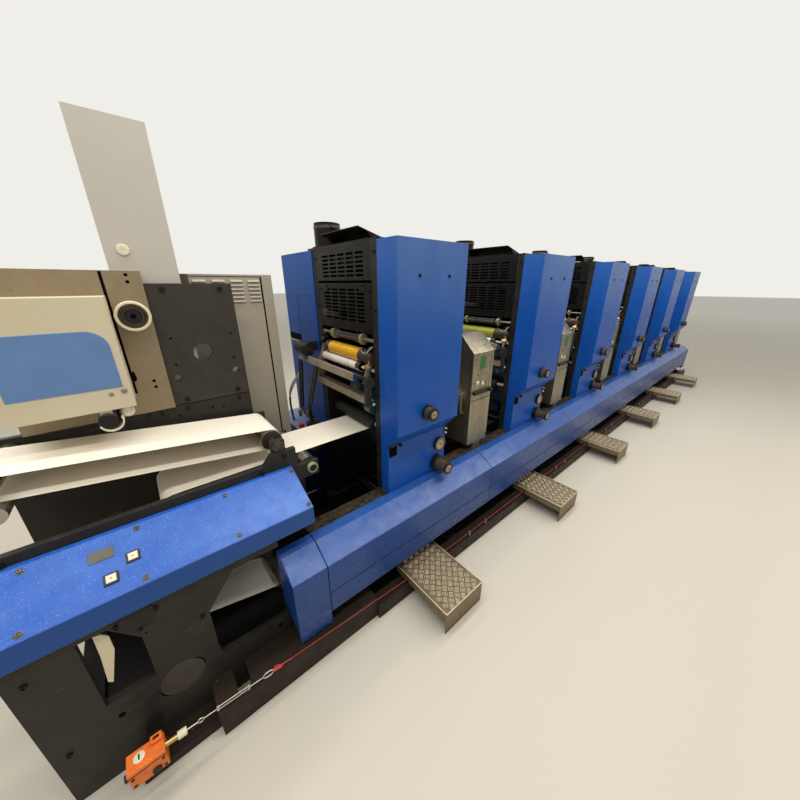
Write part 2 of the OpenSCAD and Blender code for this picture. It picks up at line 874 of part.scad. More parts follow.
module bearing_bores()
    for (place = [idler_at, small_idler_at])
        translate(place) circle(d = journal_d + 2 * running_gap, $fn = 48);

module infeed_side_plates() color(dark) in_line() {
    difference() {
        along_y(front_plate_near, front_plate_back) front_plate_outline();
        oval_pocket();
    }
    union() {
        along_y(infeed_plate_near, near_plate_back)
            infeed_plate_outline(console_bottom, idler_at[1] - ear_drop);
        idler_block();
    }
    along_y(infeed_far_plate, far_plate_back) {
        infeed_plate_outline(0, idler_at[1] + ear_height);
        difference() {
            span_2d([line_left, infeed_plate_top - 1], [back_plate_right, far_plate_top]);
            bearing_bores();
        }
    }
}

console_right = -480;
console_slope_back = 205;

module console() color(blue) in_line()
    along_x(line_left, console_right)
        polygon([[0, console_bottom], [0, console_front_top], [console_slope_back, console_top],
            [infeed_plate_near, console_top], [infeed_plate_near, console_bottom]]);

back_plate_left = -838;
back_plate_right = -505;
hub_plate_left = line_left + 100;
hub_plate_near = 620;
back_plate_holes = [[-677, 1375, 80], [-799, 1269, 30], [-551, 1268, 30]];

module upper_back_plate() color(dark) in_line()
    along_y(infeed_far_plate, far_plate_back) difference() {
        span_2d([back_plate_left, far_plate_top], [back_plate_right, back_plate_top]);
        for (hole = back_plate_holes) translate([hole[0], hole[1]]) circle(d = hole[2], $fn = 64);
    }

hub_at = [-898, 1561];
hub_d = 112;
hub_length = 60;

module hub_plate() color(grey) in_line() {
    union() {
        span([hub_plate_left, hub_plate_near, far_plate_top], [back_plate_left, far_plate_back, hub_plate_top]);
        bar_y(hub_at[0], hub_at[1], hub_plate_near - hub_length, hub_plate_near + 1, hub_d);
    }
}

cleaner_right = -965;
cleaner_near = 420;
cleaner_bottom = 1240;
cleaner_top = 1640;
cleaner_roller_x = -1057;
cleaner_roller_z = 1198;
cleaner_roller_d = 56;

module web_cleaner() color(cream) in_line() {
    union() {
        span([hub_plate_left + 20, cleaner_near, cleaner_bottom], [cleaner_right, hub_plate_near, cleaner_top]);
        bar_y(cleaner_roller_x, cleaner_roller_z, cleaner_near + 10, hub_plate_near - 10, cleaner_roller_d);
        for (y = [cleaner_near + 10, hub_plate_near - 18])
            span([cleaner_roller_x - 18, y, cleaner_roller_z], [cleaner_roller_x + 18, y + 8, cleaner_bottom + 1]);
    }
}

tower_left = -930;
tower_right = -700;
tower_back = 1000;

module tower() color(grey) in_line()
    span([tower_left, far_plate_back, 0], [tower_right, tower_back, tower_height]);

switchgear_right = -255;
switchgear_near = 800;
switchgear_back = 1200;

module switchgear_cabinet() color(grey) in_line()
    span([tower_right, switchgear_near, 0], [switchgear_right, switchgear_back, switchgear_height]);

// A fixed roller between the far side plate and a nearer plate, which ends at plate_back
module plate_roller(place, d, plate_back) {
    union() {
        bar_y(place[0], place[1], roller_near, roller_far, d);
        bar_y(place[0], place[1], plate_back, infeed_far_plate, spindle_d);
    }
}

spindle_d = 30;
roller_near = 300;
roller_far = 620;
outfeed_roller_x = line_right - 130;

module guide_rollers() color(steel) in_line() {
    plate_roller(guide_roller_at, guide_roller_d, near_plate_back);
    plate_roller(low_left_at, slim_roller_d, front_plate_back);
    plate_roller(low_right_at, slim_roller_d, front_plate_back);
    for (place = [top_roller_at, second_roller_at])
        bar_y(place[0], place[1], roller_near, infeed_far_plate, slim_roller_d);
    bar_y(outfeed_roller_x, web_z - paper_lift - slim_roller_d / 2, dryer_near + dryer_depth,
        web_near + web_width + 20, slim_roller_d);
}

journal_near = infeed_plate_near + 2;
journal_far = far_plate_back - 2;

idler_face = [325, 610];
small_idler_face = [262, 628];

module infeed_idler() color(steel) in_line() {
    union() {
        bar_y(idler_at[0], idler_at[1], idler_face[0], idler_face[1], idler_d);
        bar_y(idler_at[0], idler_at[1], block_near + 2, journal_far, journal_d);
    }
}

module small_idler() color(steel) in_line() {
    union() {
        bar_y(small_idler_at[0], small_idler_at[1], small_idler_face[0], small_idler_face[1], small_idler_d);
        bar_y(small_idler_at[0], small_idler_at[1], journal_near, journal_far, journal_d);
    }
}

// Paper web: an outline drawn round its path, which is made of arcs on the rollers

function arc(centre, radius, from, to, steps) =
    [for (i = [0 : steps]) let (angle = from + (to - from) * i / steps)
        centre + radius * [cos(angle), sin(angle)]];

function heading(a, b) = atan2(b[1] - a[1], b[0] - a[0]);

// Direction from a roller's centre to where a straight run leaves it. The run touches both
// rollers on one side, or crosses from one side to the other.
function same_side(a, radius_a, b, radius_b, side) =
    heading(a, b) + side * acos((radius_a - radius_b) / norm(b - a));
function crossing(a, radius_a, b, radius_b, side) =
    heading(a, b) + side * acos((radius_a + radius_b) / norm(b - a));

slim_path = slim_roller_d / 2 + paper_lift;
idler_path = idler_d / 2 + paper_lift;
guide_path = guide_roller_d / 2 + paper_lift;

top_angle = same_side(top_roller_at, slim_path, idler_at, idler_path, 1);
return_angle = crossing(idler_at, idler_path, second_roller_at, slim_path, 1);
upper_path = concat(arc(top_roller_at, slim_path, 180, top_angle, 8),
    arc(idler_at, idler_path, top_angle, return_angle - 360, 24),
    arc(second_roller_at, slim_path, return_angle - 180, 180, 8));

drop_angle = same_side(guide_roller_at, guide_path, low_left_at, slim_path, -1) + 360;
low_angle = same_side(low_left_at, slim_path, low_right_at, slim_path, -1) + 360;
lower_path = concat([[line_right - 60, web_z]],
    arc(guide_roller_at, guide_path, 90, drop_angle, 12),
    arc(low_left_at, slim_path, drop_angle, low_angle, 12),
    arc(low_right_at, slim_path, low_angle, 360, 12));

function direction(path, i) =
    let (step = path[min(i + 1, len(path) - 1)] - path[max(i - 1, 0)]) step / norm(step);
function beside(path, i, offset) = path[i] + offset * [-direction(path, i)[1], direction(path, i)[0]];

module strip(path)
    along_y(web_near, web_near + web_width)
        polygon(concat([for (i = [0 : len(path) - 1]) beside(path, i, web_thickness / 2)],
            [for (i = [len(path) - 1 : -1 : 0]) beside(path, i, -web_thickness / 2)]));

module web() color([0.95, 0.92, 0.84]) in_line() {
    strip(upper_path);
    strip(lower_path);
}

// Emergency pull cord along the front

box_left = -1245;
box_right = -1146;
box_near = -152;
box_far = -92;
box_bottom = 137;
box_top = 214;
plunger_d = 16;
plunger_end = -1110;

// The cord comes down from the switch to its first eye, under the first step, and runs level on
cord_end = line_right - 60;
cord_bend = 0;
ferrule_d = 10;
ferrule_length = 16;
post_thickness = 8;
post_width = 16;
post_above = 12;
eye_gap = 0.3;
post_places = [515, 694];

cord_from = [box_right - 1, -cord_front, cord_switch_z];
cord_knee = [cord_bend, -cord_front, cord_z];
cord_to = [cord_end, -cord_front, cord_z];
cord_start = cord_from + (cord_knee - cord_from) * (plunger_end - cord_from[0]) / (cord_knee[0] - cord_from[0]);

module switch_box() color([0.95, 0.35, 0.05]) in_line() {
    union() {
        span([box_left, box_near, box_bottom], [box_right, box_far, box_top]);
        rod(cord_from, cord_start, plunger_d);
    }
}

module pull_cord() color([0.85, 0.15, 0.12]) in_line() {
    union() {
        rod(cord_start, cord_knee, cord_d);
        rod(cord_knee, cord_to, cord_d);
        rod(cord_knee - [ferrule_length / 2, 0, 0], cord_knee + [ferrule_length / 2, 0, 0], ferrule_d);
    }
}

module post(x)
    translate([x, -cord_front, 0])
        span([-post_thickness / 2, -post_width / 2, sill_height],
            [post_thickness / 2, post_width / 2, cord_z + post_above]);

module eye_post(x) {
    difference() {
        post(x);
        translate([x - post_thickness, -cord_front, cord_z]) rotate([0, 90, 0])
            cylinder(d = cord_d + 2 * eye_gap, h = 2 * post_thickness, $fn = 24);
    }
}

module cord_posts() color(steel) in_line() {
    eye_post(cord_bend + ferrule_length);
    each_unit() for (x = post_places) eye_post(x);
    post(cord_end + post_thickness / 2);
}

base_beams();
cross_beams();
plinth();
steps();
front_frames();
rear_frames();
tie_bars();
tall_covers();
lower_covers();
roof_plates();
roof_flaps();
upper_guards();
exit_panels();
gear_cabinets();
exhaust_spigots();
metering_rollers();
ink_trays();
printing_cylinders();
agitator_motors();
ink_hoses();
dials();
drying_cabinets();
infeed_side_plates();
console();
upper_back_plate();
hub_plate();
web_cleaner();
tower();
switchgear_cabinet();
guide_rollers();
web();
switch_box();
pull_cord();
cord_posts();
guard(1);  // guard_1
guard(2);  // guard_2
guard(3);  // guard_3
guard(4);  // guard_4
guard(5);  // guard_5
guard(6);  // guard_6
ink_roller(1);  // ink_roller_1
ink_roller(2);  // ink_roller_2
ink_roller(3);  // ink_roller_3
ink_roller(4);  // ink_roller_4
ink_roller(5);  // ink_roller_5
ink_roller(6);  // ink_roller_6
upper_knob(1);  // upper_knob_1
upper_knob(2);  // upper_knob_2
upper_knob(3);  // upper_knob_3
upper_knob(4);  // upper_knob_4
upper_knob(5);  // upper_knob_5
upper_knob(6);  // upper_knob_6
lower_knob(1);  // lower_knob_1
lower_knob(2);  // lower_knob_2
lower_knob(3);  // lower_knob_3
lower_knob(4);  // lower_knob_4
lower_knob(5);  // lower_knob_5
lower_knob(6);  // lower_knob_6
infeed_idler();
small_idler();
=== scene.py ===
"""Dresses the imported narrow-web offset printing line.

Lengths are in millimetres in the line's own frame: X runs along the line from the first
unit's infeed side, Y runs away from the operator from the tall covers' face, and Z is up
from the floor. at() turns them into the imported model's metres.
"""

import math

import bmesh
import bpy
from mathutils import Matrix, Vector


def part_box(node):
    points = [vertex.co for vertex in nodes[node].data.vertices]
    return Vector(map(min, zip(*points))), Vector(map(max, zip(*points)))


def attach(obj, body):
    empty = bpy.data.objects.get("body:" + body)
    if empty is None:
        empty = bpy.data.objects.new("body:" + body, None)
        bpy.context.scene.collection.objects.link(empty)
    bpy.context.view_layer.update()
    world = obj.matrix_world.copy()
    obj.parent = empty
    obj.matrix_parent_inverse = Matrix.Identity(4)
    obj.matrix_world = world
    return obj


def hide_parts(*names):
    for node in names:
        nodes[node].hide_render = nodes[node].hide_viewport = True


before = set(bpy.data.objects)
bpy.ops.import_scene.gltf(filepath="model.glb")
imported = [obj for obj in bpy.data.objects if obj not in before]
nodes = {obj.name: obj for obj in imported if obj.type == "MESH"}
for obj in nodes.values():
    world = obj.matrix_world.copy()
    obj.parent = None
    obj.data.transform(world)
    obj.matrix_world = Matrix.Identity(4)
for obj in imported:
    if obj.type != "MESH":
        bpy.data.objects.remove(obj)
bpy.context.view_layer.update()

MM = 0.001
UNIT_COUNT = 6
CORD_DIAMETER = 3
UNITS = range(1, UNIT_COUNT + 1)

cover_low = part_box("tall_covers")[0]
ORIGIN = Vector((cover_low.x, cover_low.y, 0))


def at(x, y, z):
    return ORIGIN + Vector((x, y, z)) * MM


def line_box(node):
    """A node's lowest and highest corner, in the line's millimetres."""
    low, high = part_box(node)
    return (low - ORIGIN) / MM, (high - ORIGIN) / MM


PITCH = (line_box("upper_knob_2")[0] - line_box("upper_knob_1")[0]).x


def first_box(node):
    """The first unit's share of the box of a node that is repeated on every unit."""
    low, high = line_box(node)
    return low, high - Vector((PITCH * (UNIT_COUNT - 1), 0, 0))


def around(across, up, radius, count, first=0.0):
    """Points spaced evenly round a centre, the first one so many steps past its side."""
    angles = [2 * math.pi * (k + first) / count for k in range(count)]
    return [(across + radius * math.cos(a), up + radius * math.sin(a)) for a in angles]


def arc(across, up, radius, start, end, steps):
    """Points on a circle, from a start to an end angle in degrees."""
    angles = [math.radians(start + (end - start) * k / steps) for k in range(steps + 1)]
    return [(across + radius * math.cos(a), up + radius * math.sin(a)) for a in angles]


# Shapes

WIRE_SIDES = 8
TURNS = {
    "x": Matrix.Rotation(math.radians(90), 4, "Y"),
    "y": Matrix.Rotation(math.radians(-90), 4, "X"),
    "z": Matrix.Identity(4),
}


class Shape:
    """One mesh, gathered from simple solids in line millimetres."""

    def __init__(self):
        self.bm = bmesh.new()

    def box(self, low, high, turn=None):
        low, high = Vector(low), Vector(high)
        size = Matrix.Diagonal((*(high - low), 1))
        move = Matrix.Translation((low + high) / 2)
        bmesh.ops.create_cube(self.bm, size=1, matrix=move @ (turn or Matrix.Identity(4)) @ size)
        return self

    def skin(self, rings, closed=False):
        """Faces from each ring of corners to the next, with end caps unless the rings close."""
        faces = []
        for a, b in zip(rings, rings[1:] + rings[:1] if closed else rings[1:]):
            for k in range(len(a)):
                j = (k + 1) % len(a)
                faces.append(self.bm.faces.new((a[k], a[j], b[j], b[k])))
        if not closed:
            faces += [self.bm.faces.new(rings[0][::-1]), self.bm.faces.new(rings[-1])]
        bmesh.ops.recalc_face_normals(self.bm, faces=faces)
        return self

    def prism(self, outline, low, high, axis="y"):
        """An outline of (x, z) points along Y, or of (y, z) points along X."""
        def corner(point, depth):
            return (point[0], depth, point[1]) if axis == "y" else (depth, point[0], point[1])
        near = [self.bm.verts.new(corner(p, low)) for p in outline]
        far = [self.bm.verts.new(corner(p, high)) for p in outline]
        return self.skin([near, far])

    def turned(self, profile, centre, axis="y", sides=32, flutes=0, flute=0.0):
        """Turns (along, radius) points round an axis; flutes cut the middle points in.

        The centre is a point, or a matrix where the axis leans.
        """
        start = centre if isinstance(centre, Matrix) else Matrix.Translation(centre)
        place = start @ TURNS[axis]
        rings = []
        for index, (along, radius) in enumerate(profile):
            ring = []
            for k in range(sides):
                angle = 2 * math.pi * k / sides
                inner = 0 < index < len(profile) - 1 and flutes
                r = radius * (1 - flute * (0.5 - 0.5 * math.cos(flutes * angle))) if inner else radius
                ring.append(self.bm.verts.new(place @ Vector((r * math.cos(angle),
                                                              r * math.sin(angle), along))))
            rings.append(ring)
        return self.skin(rings)

    def bar(self, centre, axis, low, high, d, sides=24):
        """A round bar that runs from low to high along its axis."""
        return self.turned([(low, d / 2), (high, d / 2)], centre, axis, sides)

    def tube(self, path, d, sides=10):
        """A round tube along a smooth path through the given points."""
        points = smooth(path)
        rings = []
        side = None
        for i, point in enumerate(points):
            ahead = (points[min(i + 1, len(points) - 1)] - points[max(i - 1, 0)]).normalized()
            if side is None:
                side = ahead.orthogonal().normalized()
            side = (side - ahead * side.dot(ahead)).normalized()
            up = ahead.cross(side)
            rings.append([self.bm.verts.new(point + (side * math.cos(a) + up * math.sin(a)) * d / 2)
                          for a in (2 * math.pi * k / sides for k in range(sides))])
        return self.skin(rings)

    def ring(self, centre, axis, d, wire, sides=24, squash=1.0):
        """A closed ring of wire round an axis; squash flattens it to an eye."""
        turn = Matrix.Translation(centre) @ TURNS[axis]
        path = [turn @ Vector((math.cos(a) * d / 2, math.sin(a) * d / 2 * squash, 0))
                for a in (2 * math.pi * k / sides for k in range(sides))]
        rings = []
        for i, point in enumerate(path):
            ahead = (path[(i + 1) % sides] - path[i - 1]).normalized()
            normal = turn.to_3x3() @ Vector((0, 0, 1))
            out = ahead.cross(normal)
            rings.append([self.bm.verts.new(point + (out * math.cos(b) + normal * math.sin(b)) * wire / 2)
                          for b in (2 * math.pi * k / WIRE_SIDES for k in range(WIRE_SIDES))])
        return self.skin(rings, closed=True)

    def screw(self, place, axis="y", d=16, side=-1):
        """A socket head screw whose head stands out to the given side of its seat."""
        head = 0.45 * d
        profile = [(0, d * 0.62), (side * 1.5, d * 0.62), (side * 1.5, d / 2), (side * head, d / 2),
                   (side * head, d * 0.28), (side * 1.6, d * 0.28)]
        return self.turned(profile, place, axis, 14)

    def done(self, name, material, body="press", slot=None, bevel=0.0, each_unit=False):
        """Makes the object, copied to all units if asked, riding on its body."""
        if each_unit:
            source = list(self.bm.verts) + list(self.bm.edges) + list(self.bm.faces)
            for number in range(1, UNIT_COUNT):
                made = bmesh.ops.duplicate(self.bm, geom=source)["geom"]
                moved = [g for g in made if isinstance(g, bmesh.types.BMVert)]
                bmesh.ops.translate(self.bm, vec=(PITCH * number, 0, 0), verts=moved)
        for vert in self.bm.verts:
            vert.co = at(*vert.co)
        mesh = bpy.data.meshes.new(name)
        self.bm.to_mesh(mesh)
        self.bm.free()
        mesh.shade_smooth()
        mesh.set_sharp_from_angle(angle=math.radians(35))
        piece = bpy.data.objects.new(name, mesh)
        bpy.context.scene.collection.objects.link(piece)
        mesh.materials.append(material)
        if bevel:
            edge = piece.modifiers.new("edges", "BEVEL")
            edge.width = bevel * MM
            edge.segments = 2
            edge.limit_method = "ANGLE"
            edge.angle_limit = math.radians(40)
        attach(piece, body)
        return piece


def smooth(path, per_span=6):
    """Points on a Catmull-Rom curve through the path."""
    points = [Vector(p) for p in path]
    if len(points) < 3:
        return points
    ends = [2 * points[0] - points[1]] + points + [2 * points[-1] - points[-2]]
    out = []
    for a, b, c, d in zip(ends, ends[1:], ends[2:], ends[3:]):
        for k in range(per_span):
            t = k / per_span
            out.append(0.5 * (2 * b + (c - a) * t + (2 * a - 5 * b + 4 * c - d) * t ** 2
                              + (3 * b - a - 3 * c + d) * t ** 3))
    return out + [points[-1]]


# Materials

def srgb(red, green, blue):
    """A colour as seen, from 0 to 255, as the shader's linear one."""
    def linear(value):
        value /= 255
        return value / 12.92 if value <= 0.04045 else ((value + 0.055) / 1.055) ** 2.4
    return (linear(red), linear(green), linear(blue), 1)


class Finish:
    """A surface with its own node tree, built up layer by layer."""

    def __init__(self, name, colour, rough, metal=0.0, coat=0.0, specular=0.5):
        self.material = bpy.data.materials.new(name)
        self.material.use_nodes = True
        self.tree = self.material.node_tree
        self.shader = self.tree.nodes["Principled BSDF"]
        self.shader.inputs["Metallic"].default_value = metal
        self.shader.inputs["Coat Weight"].default_value = coat
        self.shader.inputs["Coat Roughness"].default_value = 0.12
        self.shader.inputs["Specular IOR Level"].default_value = specular
        self.shader.inputs["Roughness"].default_value = rough
        self.shader.inputs["Base Color"].default_value = colour
        self.rough = rough
        self.colour = None
        self.base = colour
        self.normal = None
        self.coords = self.add("ShaderNodeTexCoord").outputs["Object"]

    def add(self, kind, **settings):
        made = self.tree.nodes.new(kind)
        for key, value in settings.items():
            setattr(made, key, value)
        return made

    def link(self, source, target):
        if isinstance(source, (int, float, tuple)):
            target.default_value = source
        else:
            self.tree.links.new(source, target)

    def stretched(self, scale):
        place = self.add("ShaderNodeMapping")
        place.inputs["Scale"].default_value = scale if isinstance(scale, tuple) else (scale,) * 3
        self.link(self.coords, place.inputs["Vector"])
        return place.outputs["Vector"]

    def noise(self, scale, detail=3.0, rough=0.6):
        """Soft noise from 0 to 1; scale is in cells a metre, and may differ by axis."""
        made = self.add("ShaderNodeTexNoise")
        self.link(self.stretched(scale), made.inputs["Vector"])
        made.inputs["Scale"].default_value = 1.0
        made.inputs["Detail"].default_value = detail
        made.inputs["Roughness"].default_value = rough
        return made.outputs["Fac"]

    def ramp(self, value, low, high):
        """Spreads the part of a value between low and high over 0 to 1."""
        made = self.add("ShaderNodeMapRange", clamp=True)
        self.link(value, made.inputs["Value"])
        made.inputs["From Min"].default_value = low
        made.inputs["From Max"].default_value = high
        return made.outputs["Result"]

    def math(self, operation, a, b=0.0):
        made = self.add("ShaderNodeMath", operation=operation)
        self.link(a, made.inputs[0])
        self.link(b, made.inputs[1])
        return made.outputs["Value"]

    def tint(self, mask, colour, amount=None):
        """Lays a colour over what is there, as far as the mask and the amount say."""
        if amount is not None:
            mask = self.math("MULTIPLY", mask, amount)
        made = self.add("ShaderNodeMix", data_type="RGBA")
        self.link(mask, made.inputs["Factor"])
        self.link(self.colour if self.colour else self.base, made.inputs[6])
        self.link(colour, made.inputs[7])
        self.colour = made.outputs[2]
        self.link(self.colour, self.shader.inputs["Base Color"])
        return self

    def mottle(self, scale, amount, colour):
        """Broad soft patches of another colour."""
        return self.tint(self.ramp(self.noise(scale), 0.38, 0.72), colour, amount)

    def specks(self, scale, share, size, colour, amount=0.8):
        """Small round spots in some of the cells of a grid."""
        cells = self.add("ShaderNodeTexVoronoi")
        self.link(self.stretched(scale), cells.inputs["Vector"])
        cells.inputs["Scale"].default_value = 1.0
        channel = self.add("ShaderNodeSeparateColor")
        self.link(cells.outputs["Color"], channel.inputs["Color"])
        near = self.ramp(cells.outputs["Distance"], size, size * 0.6)
        picked = self.math("LESS_THAN", channel.outputs["Red"], share)
        return self.tint(self.math("MULTIPLY", near, picked), colour, amount)

    def scratches(self, scale, amount, colour):
        """Thin lines along the axis in which the scale is smallest."""
        lines = self.ramp(self.noise(scale, 2.0), 0.66, 0.70)
        patch = self.ramp(self.noise(7.0), 0.45, 0.6)
        return self.tint(self.math("MULTIPLY", lines, patch), colour, amount)

    def edges(self, width, amount, colour):
        """A pale tint along the edges, partly wear and partly painted highlight, broken up by noise."""
        round_edge = self.add("ShaderNodeBevel", samples=4)
        round_edge.inputs["Radius"].default_value = width * MM
        flat = self.add("ShaderNodeNewGeometry")
        dot = self.add("ShaderNodeVectorMath", operation="DOT_PRODUCT")
        self.link(round_edge.outputs["Normal"], dot.inputs[0])
        self.link(flat.outputs["Normal"], dot.inputs[1])
        bent = self.ramp(dot.outputs["Value"], 0.995, 0.86)
        # The noise breaks up the pale edge band, which is partly wear and partly painted highlight.
        worn = self.ramp(self.noise(45.0), 0.35, 0.65)
        self.normal = self.normal or round_edge.outputs["Normal"]
        return self.tint(self.math("MULTIPLY", bent, worn), colour, amount)

    def soften(self, width):
        """Rounds the look of the edges, as on folded sheet."""
        round_edge = self.add("ShaderNodeBevel", samples=6)
        round_edge.inputs["Radius"].default_value = width * MM
        self.normal = round_edge.outputs["Normal"]
        return self

    def bump(self, height, distance, strength=1.0):
        made = self.add("ShaderNodeBump")
        made.inputs["Strength"].default_value = strength
        made.inputs["Distance"].default_value = distance * MM
        self.link(height, made.inputs["Height"])
        if self.normal:
            self.link(self.normal, made.inputs["Normal"])
        self.normal = made.outputs["Normal"]
        return self

    def grain(self, scale, distance, detail=2.0):
        return self.bump(self.noise(scale, detail), distance)

    def sheen_spread(self, scale, spread):
        """Lets the roughness wander round its base value."""
        made = self.add("ShaderNodeMapRange")
        self.link(self.noise(scale), made.inputs["Value"])
        made.inputs["From Min"].default_value = 0.3
        made.inputs["From Max"].default_value = 0.7
        made.inputs["To Min"].default_value = max(0.03, self.rough - spread)
        made.inputs["To Max"].default_value = min(1.0, self.rough + spread)
        self.link(made.outputs["Result"], self.shader.inputs["Roughness"])
        return self

    def mask(self, axis, full, none):
        """1 where a line coordinate has the value full, falling to 0 at the value none."""
        axes = self.add("ShaderNodeSeparateXYZ")
        self.link(self.add("ShaderNodeNewGeometry").outputs["Position"], axes.inputs["Vector"])
        start = at(0, 0, 0)["xyz".index(axis)]
        return self.ramp(axes.outputs[axis.upper()], start + none * MM, start + full * MM)

    def done(self):
        if self.normal:
            self.link(self.normal, self.shader.inputs["Normal"])
        return self.material


SOOT = srgb(18, 17, 16)
COVER_TOP = 1868


def blue_paint():
    """Blue enamel with a fine orange peel and ink specks; a painted highlight on its upper part and upper
    front; edges pale with wear and painted highlight.
    """
    made = Finish("blue enamel", srgb(10, 78, 168), 0.38, specular=0.3)
    made.soften(3.0)
    # Painted highlight: the enamel pales towards the top of the covers.
    made.tint(made.mask("z", COVER_TOP, 1450), srgb(58, 106, 176), 0.55)
    # Painted highlight: a paler band on the upper part of the front face.
    front = made.math("MULTIPLY", made.mask("z", COVER_TOP, 1350), made.mask("y", 0, 10))
    made.tint(front, srgb(98, 124, 170), 0.5)
    made.mottle((2.1, 2.1, 1.3), 0.35, srgb(30, 88, 160))
    made.mottle((9.0, 9.0, 3.0), 0.22, srgb(8, 58, 132))
    made.specks(55.0, 0.06, 0.16, SOOT, 0.75)
    made.specks(26.0, 0.05, 0.07, srgb(170, 185, 205), 0.7)
    made.scratches((60.0, 60.0, 3.0), 0.18, srgb(110, 140, 190))
    made.edges(1.6, 0.5, srgb(105, 135, 185))
    made.grain(260.0, 0.05)
    return made.sheen_spread(14.0, 0.08).done()


def gear_paint():
    """The same enamel, gone flat, on the cabinets at the gear side."""
    made = Finish("flat blue enamel", srgb(16, 66, 140), 0.5, specular=0.2)
    made.mottle((3.0, 3.0, 1.6), 0.4, srgb(28, 74, 142))
    # Painted highlight: the enamel pales towards the top of the cabinets.
    made.tint(made.mask("z", COVER_TOP, 1450), srgb(40, 88, 160), 0.5)
    # Near black below z 560, blending back into the blue by z 660.
    made.tint(made.mask("z", 560, 660), srgb(16, 18, 24), 0.85)
    made.specks(40.0, 0.05, 0.10, srgb(150, 165, 190), 0.6)
    made.edges(1.6, 0.4, srgb(90, 118, 168))
    return made.grain(260.0, 0.05).done()


def console_paint():
    """The enamel of the console: pale on its slope with a painted reflection, dark and clean below with
    painted shade.
    """
    made = Finish("console enamel", srgb(30, 88, 178), 0.42, specular=0.35)
    made.soften(4.0)
    # Painted reflection: the front of the slope pales towards the units.
    pale = made.math("MULTIPLY", made.mask("x", -480, -1000), made.mask("y", 60, 190))
    made.tint(pale, srgb(112, 148, 218), 0.7)
    made.mottle((6.0, 6.0, 6.0), 0.5, srgb(52, 106, 192))
    made.mottle((18.0, 18.0, 18.0), 0.4, srgb(20, 68, 160))
    made.specks(150.0, 0.45, 0.30, srgb(130, 162, 222), 0.4)
    made.specks(60.0, 0.12, 0.12, srgb(22, 40, 86), 0.7)
    # Painted shade: the front face below the slope is darker.
    made.tint(made.mask("z", 762, 772), srgb(14, 66, 136), 0.9)
    made.edges(1.6, 0.5, srgb(130, 160, 215))
    made.grain(260.0, 0.05)
    return made.sheen_spread(14.0, 0.08).done()


def plinth_paint():
    """Enamel that feet and oil have dulled, spotted with ink on the slope; darker in front, with painted
    shade on the front face and on the ribs beneath, and darker still towards the bottom.
    """
    made = Finish("plinth enamel", srgb(30, 78, 152), 0.36, coat=0.08, specular=0.35)
    made.soften(7.0)
    made.mottle((3.0, 9.0, 9.0), 0.45, srgb(62, 104, 172))
    made.mottle((14.0, 14.0, 14.0), 0.3, srgb(24, 58, 118))
    # Painted shade: the front face below the slope is darker than the slope.
    made.tint(made.mask("z", 494, 502), srgb(8, 58, 128), 0.8)
    # Darker towards the bottom of the front face, from z 480 down to z 230.
    made.tint(made.mask("z", 230, 480), srgb(18, 38, 66), 0.25)
    made.specks(150.0, 0.40, 0.30, srgb(146, 168, 206), 0.35)
    made.specks(62.0, 0.42, 0.20, srgb(22, 30, 46), 0.85)
    made.specks(36.0, 0.30, 0.13, SOOT, 0.9)
    made.specks(44.0, 0.10, 0.10, srgb(196, 200, 204), 0.8)
    made.scratches((4.0, 60.0, 60.0), 0.3, srgb(140, 160, 195))
    made.edges(2.2, 0.6, srgb(125, 150, 195))
    # Painted shade: the ribs under the plinth, behind y -60 and below z 219, are darkened to near black.
    inside = made.math("MULTIPLY", made.mask("y", -60, -80), made.mask("z", 219, 222))
    made.tint(inside, srgb(30, 27, 24))
    made.grain(240.0, 0.06)
    return made.sheen_spread(18.0, 0.10).done()


def dark_plate(name="dark plate", colour=srgb(42, 40, 36)):
    """Blackened steel plate with brushed dust and oil."""
    made = Finish(name, colour, 0.46, metal=0.2, specular=0.3)
    made.mottle((5.0, 5.0, 8.0), 0.4, srgb(58, 54, 47))
    made.mottle((20.0, 20.0, 20.0), 0.3, srgb(26, 24, 22))
    made.scratches((6.0, 6.0, 90.0), 0.35, srgb(92, 88, 80))
    made.edges(1.4, 0.55, srgb(106, 100, 90))
    made.grain(150.0, 0.06)
    return made.sheen_spread(16.0, 0.10).done()


def inner_plate():
    """The plates inside the units: dark plate darkened further with painted shade, flecked with ink and oil.
    """
    made = Finish("inner plate with painted shade", srgb(20, 19, 18), 0.55, specular=0.2)
    made.mottle((9.0, 9.0, 9.0), 0.5, srgb(34, 31, 27))
    made.specks(60.0, 0.08, 0.14, srgb(84, 74, 58), 0.6)
    return made.grain(150.0, 0.06).done()


def base_steel():
    """Base beams: black paint under floor dust, oil and rust, brown on the rail behind the plinth."""
    made = Finish("oily base", srgb(32, 28, 22), 0.55, specular=0.2)
    made.mottle((4.0, 12.0, 12.0), 0.5, srgb(46, 38, 28))
    made.mottle((11.0, 18.0, 18.0), 0.3, srgb(62, 36, 22))
    rail = made.mask("z", 540, 530)
    made.tint(rail, srgb(64, 55, 42))
    made.tint(made.math("MULTIPLY", rail, made.ramp(made.noise(34.0), 0.42, 0.6)), srgb(32, 26, 20))
    made.specks(60.0, 0.15, 0.2, SOOT, 0.8)
    made.specks(90.0, 0.08, 0.14, srgb(176, 166, 142), 0.7)
    made.edges(2.0, 0.5, srgb(96, 86, 70))
    made.grain(90.0, 0.2)
    return made.sheen_spread(12.0, 0.15).done()


def pit_steel():
    """Cross beams and oil pan, black with old oil; also the dark sheets of painted shade at the back of the
    pan.
    """
    made = Finish("oily pit", srgb(13, 12, 10), 0.6, specular=0.15)
    made.mottle((9.0, 9.0, 9.0), 0.4, srgb(30, 24, 18))
    return made.grain(60.0, 0.3).done()


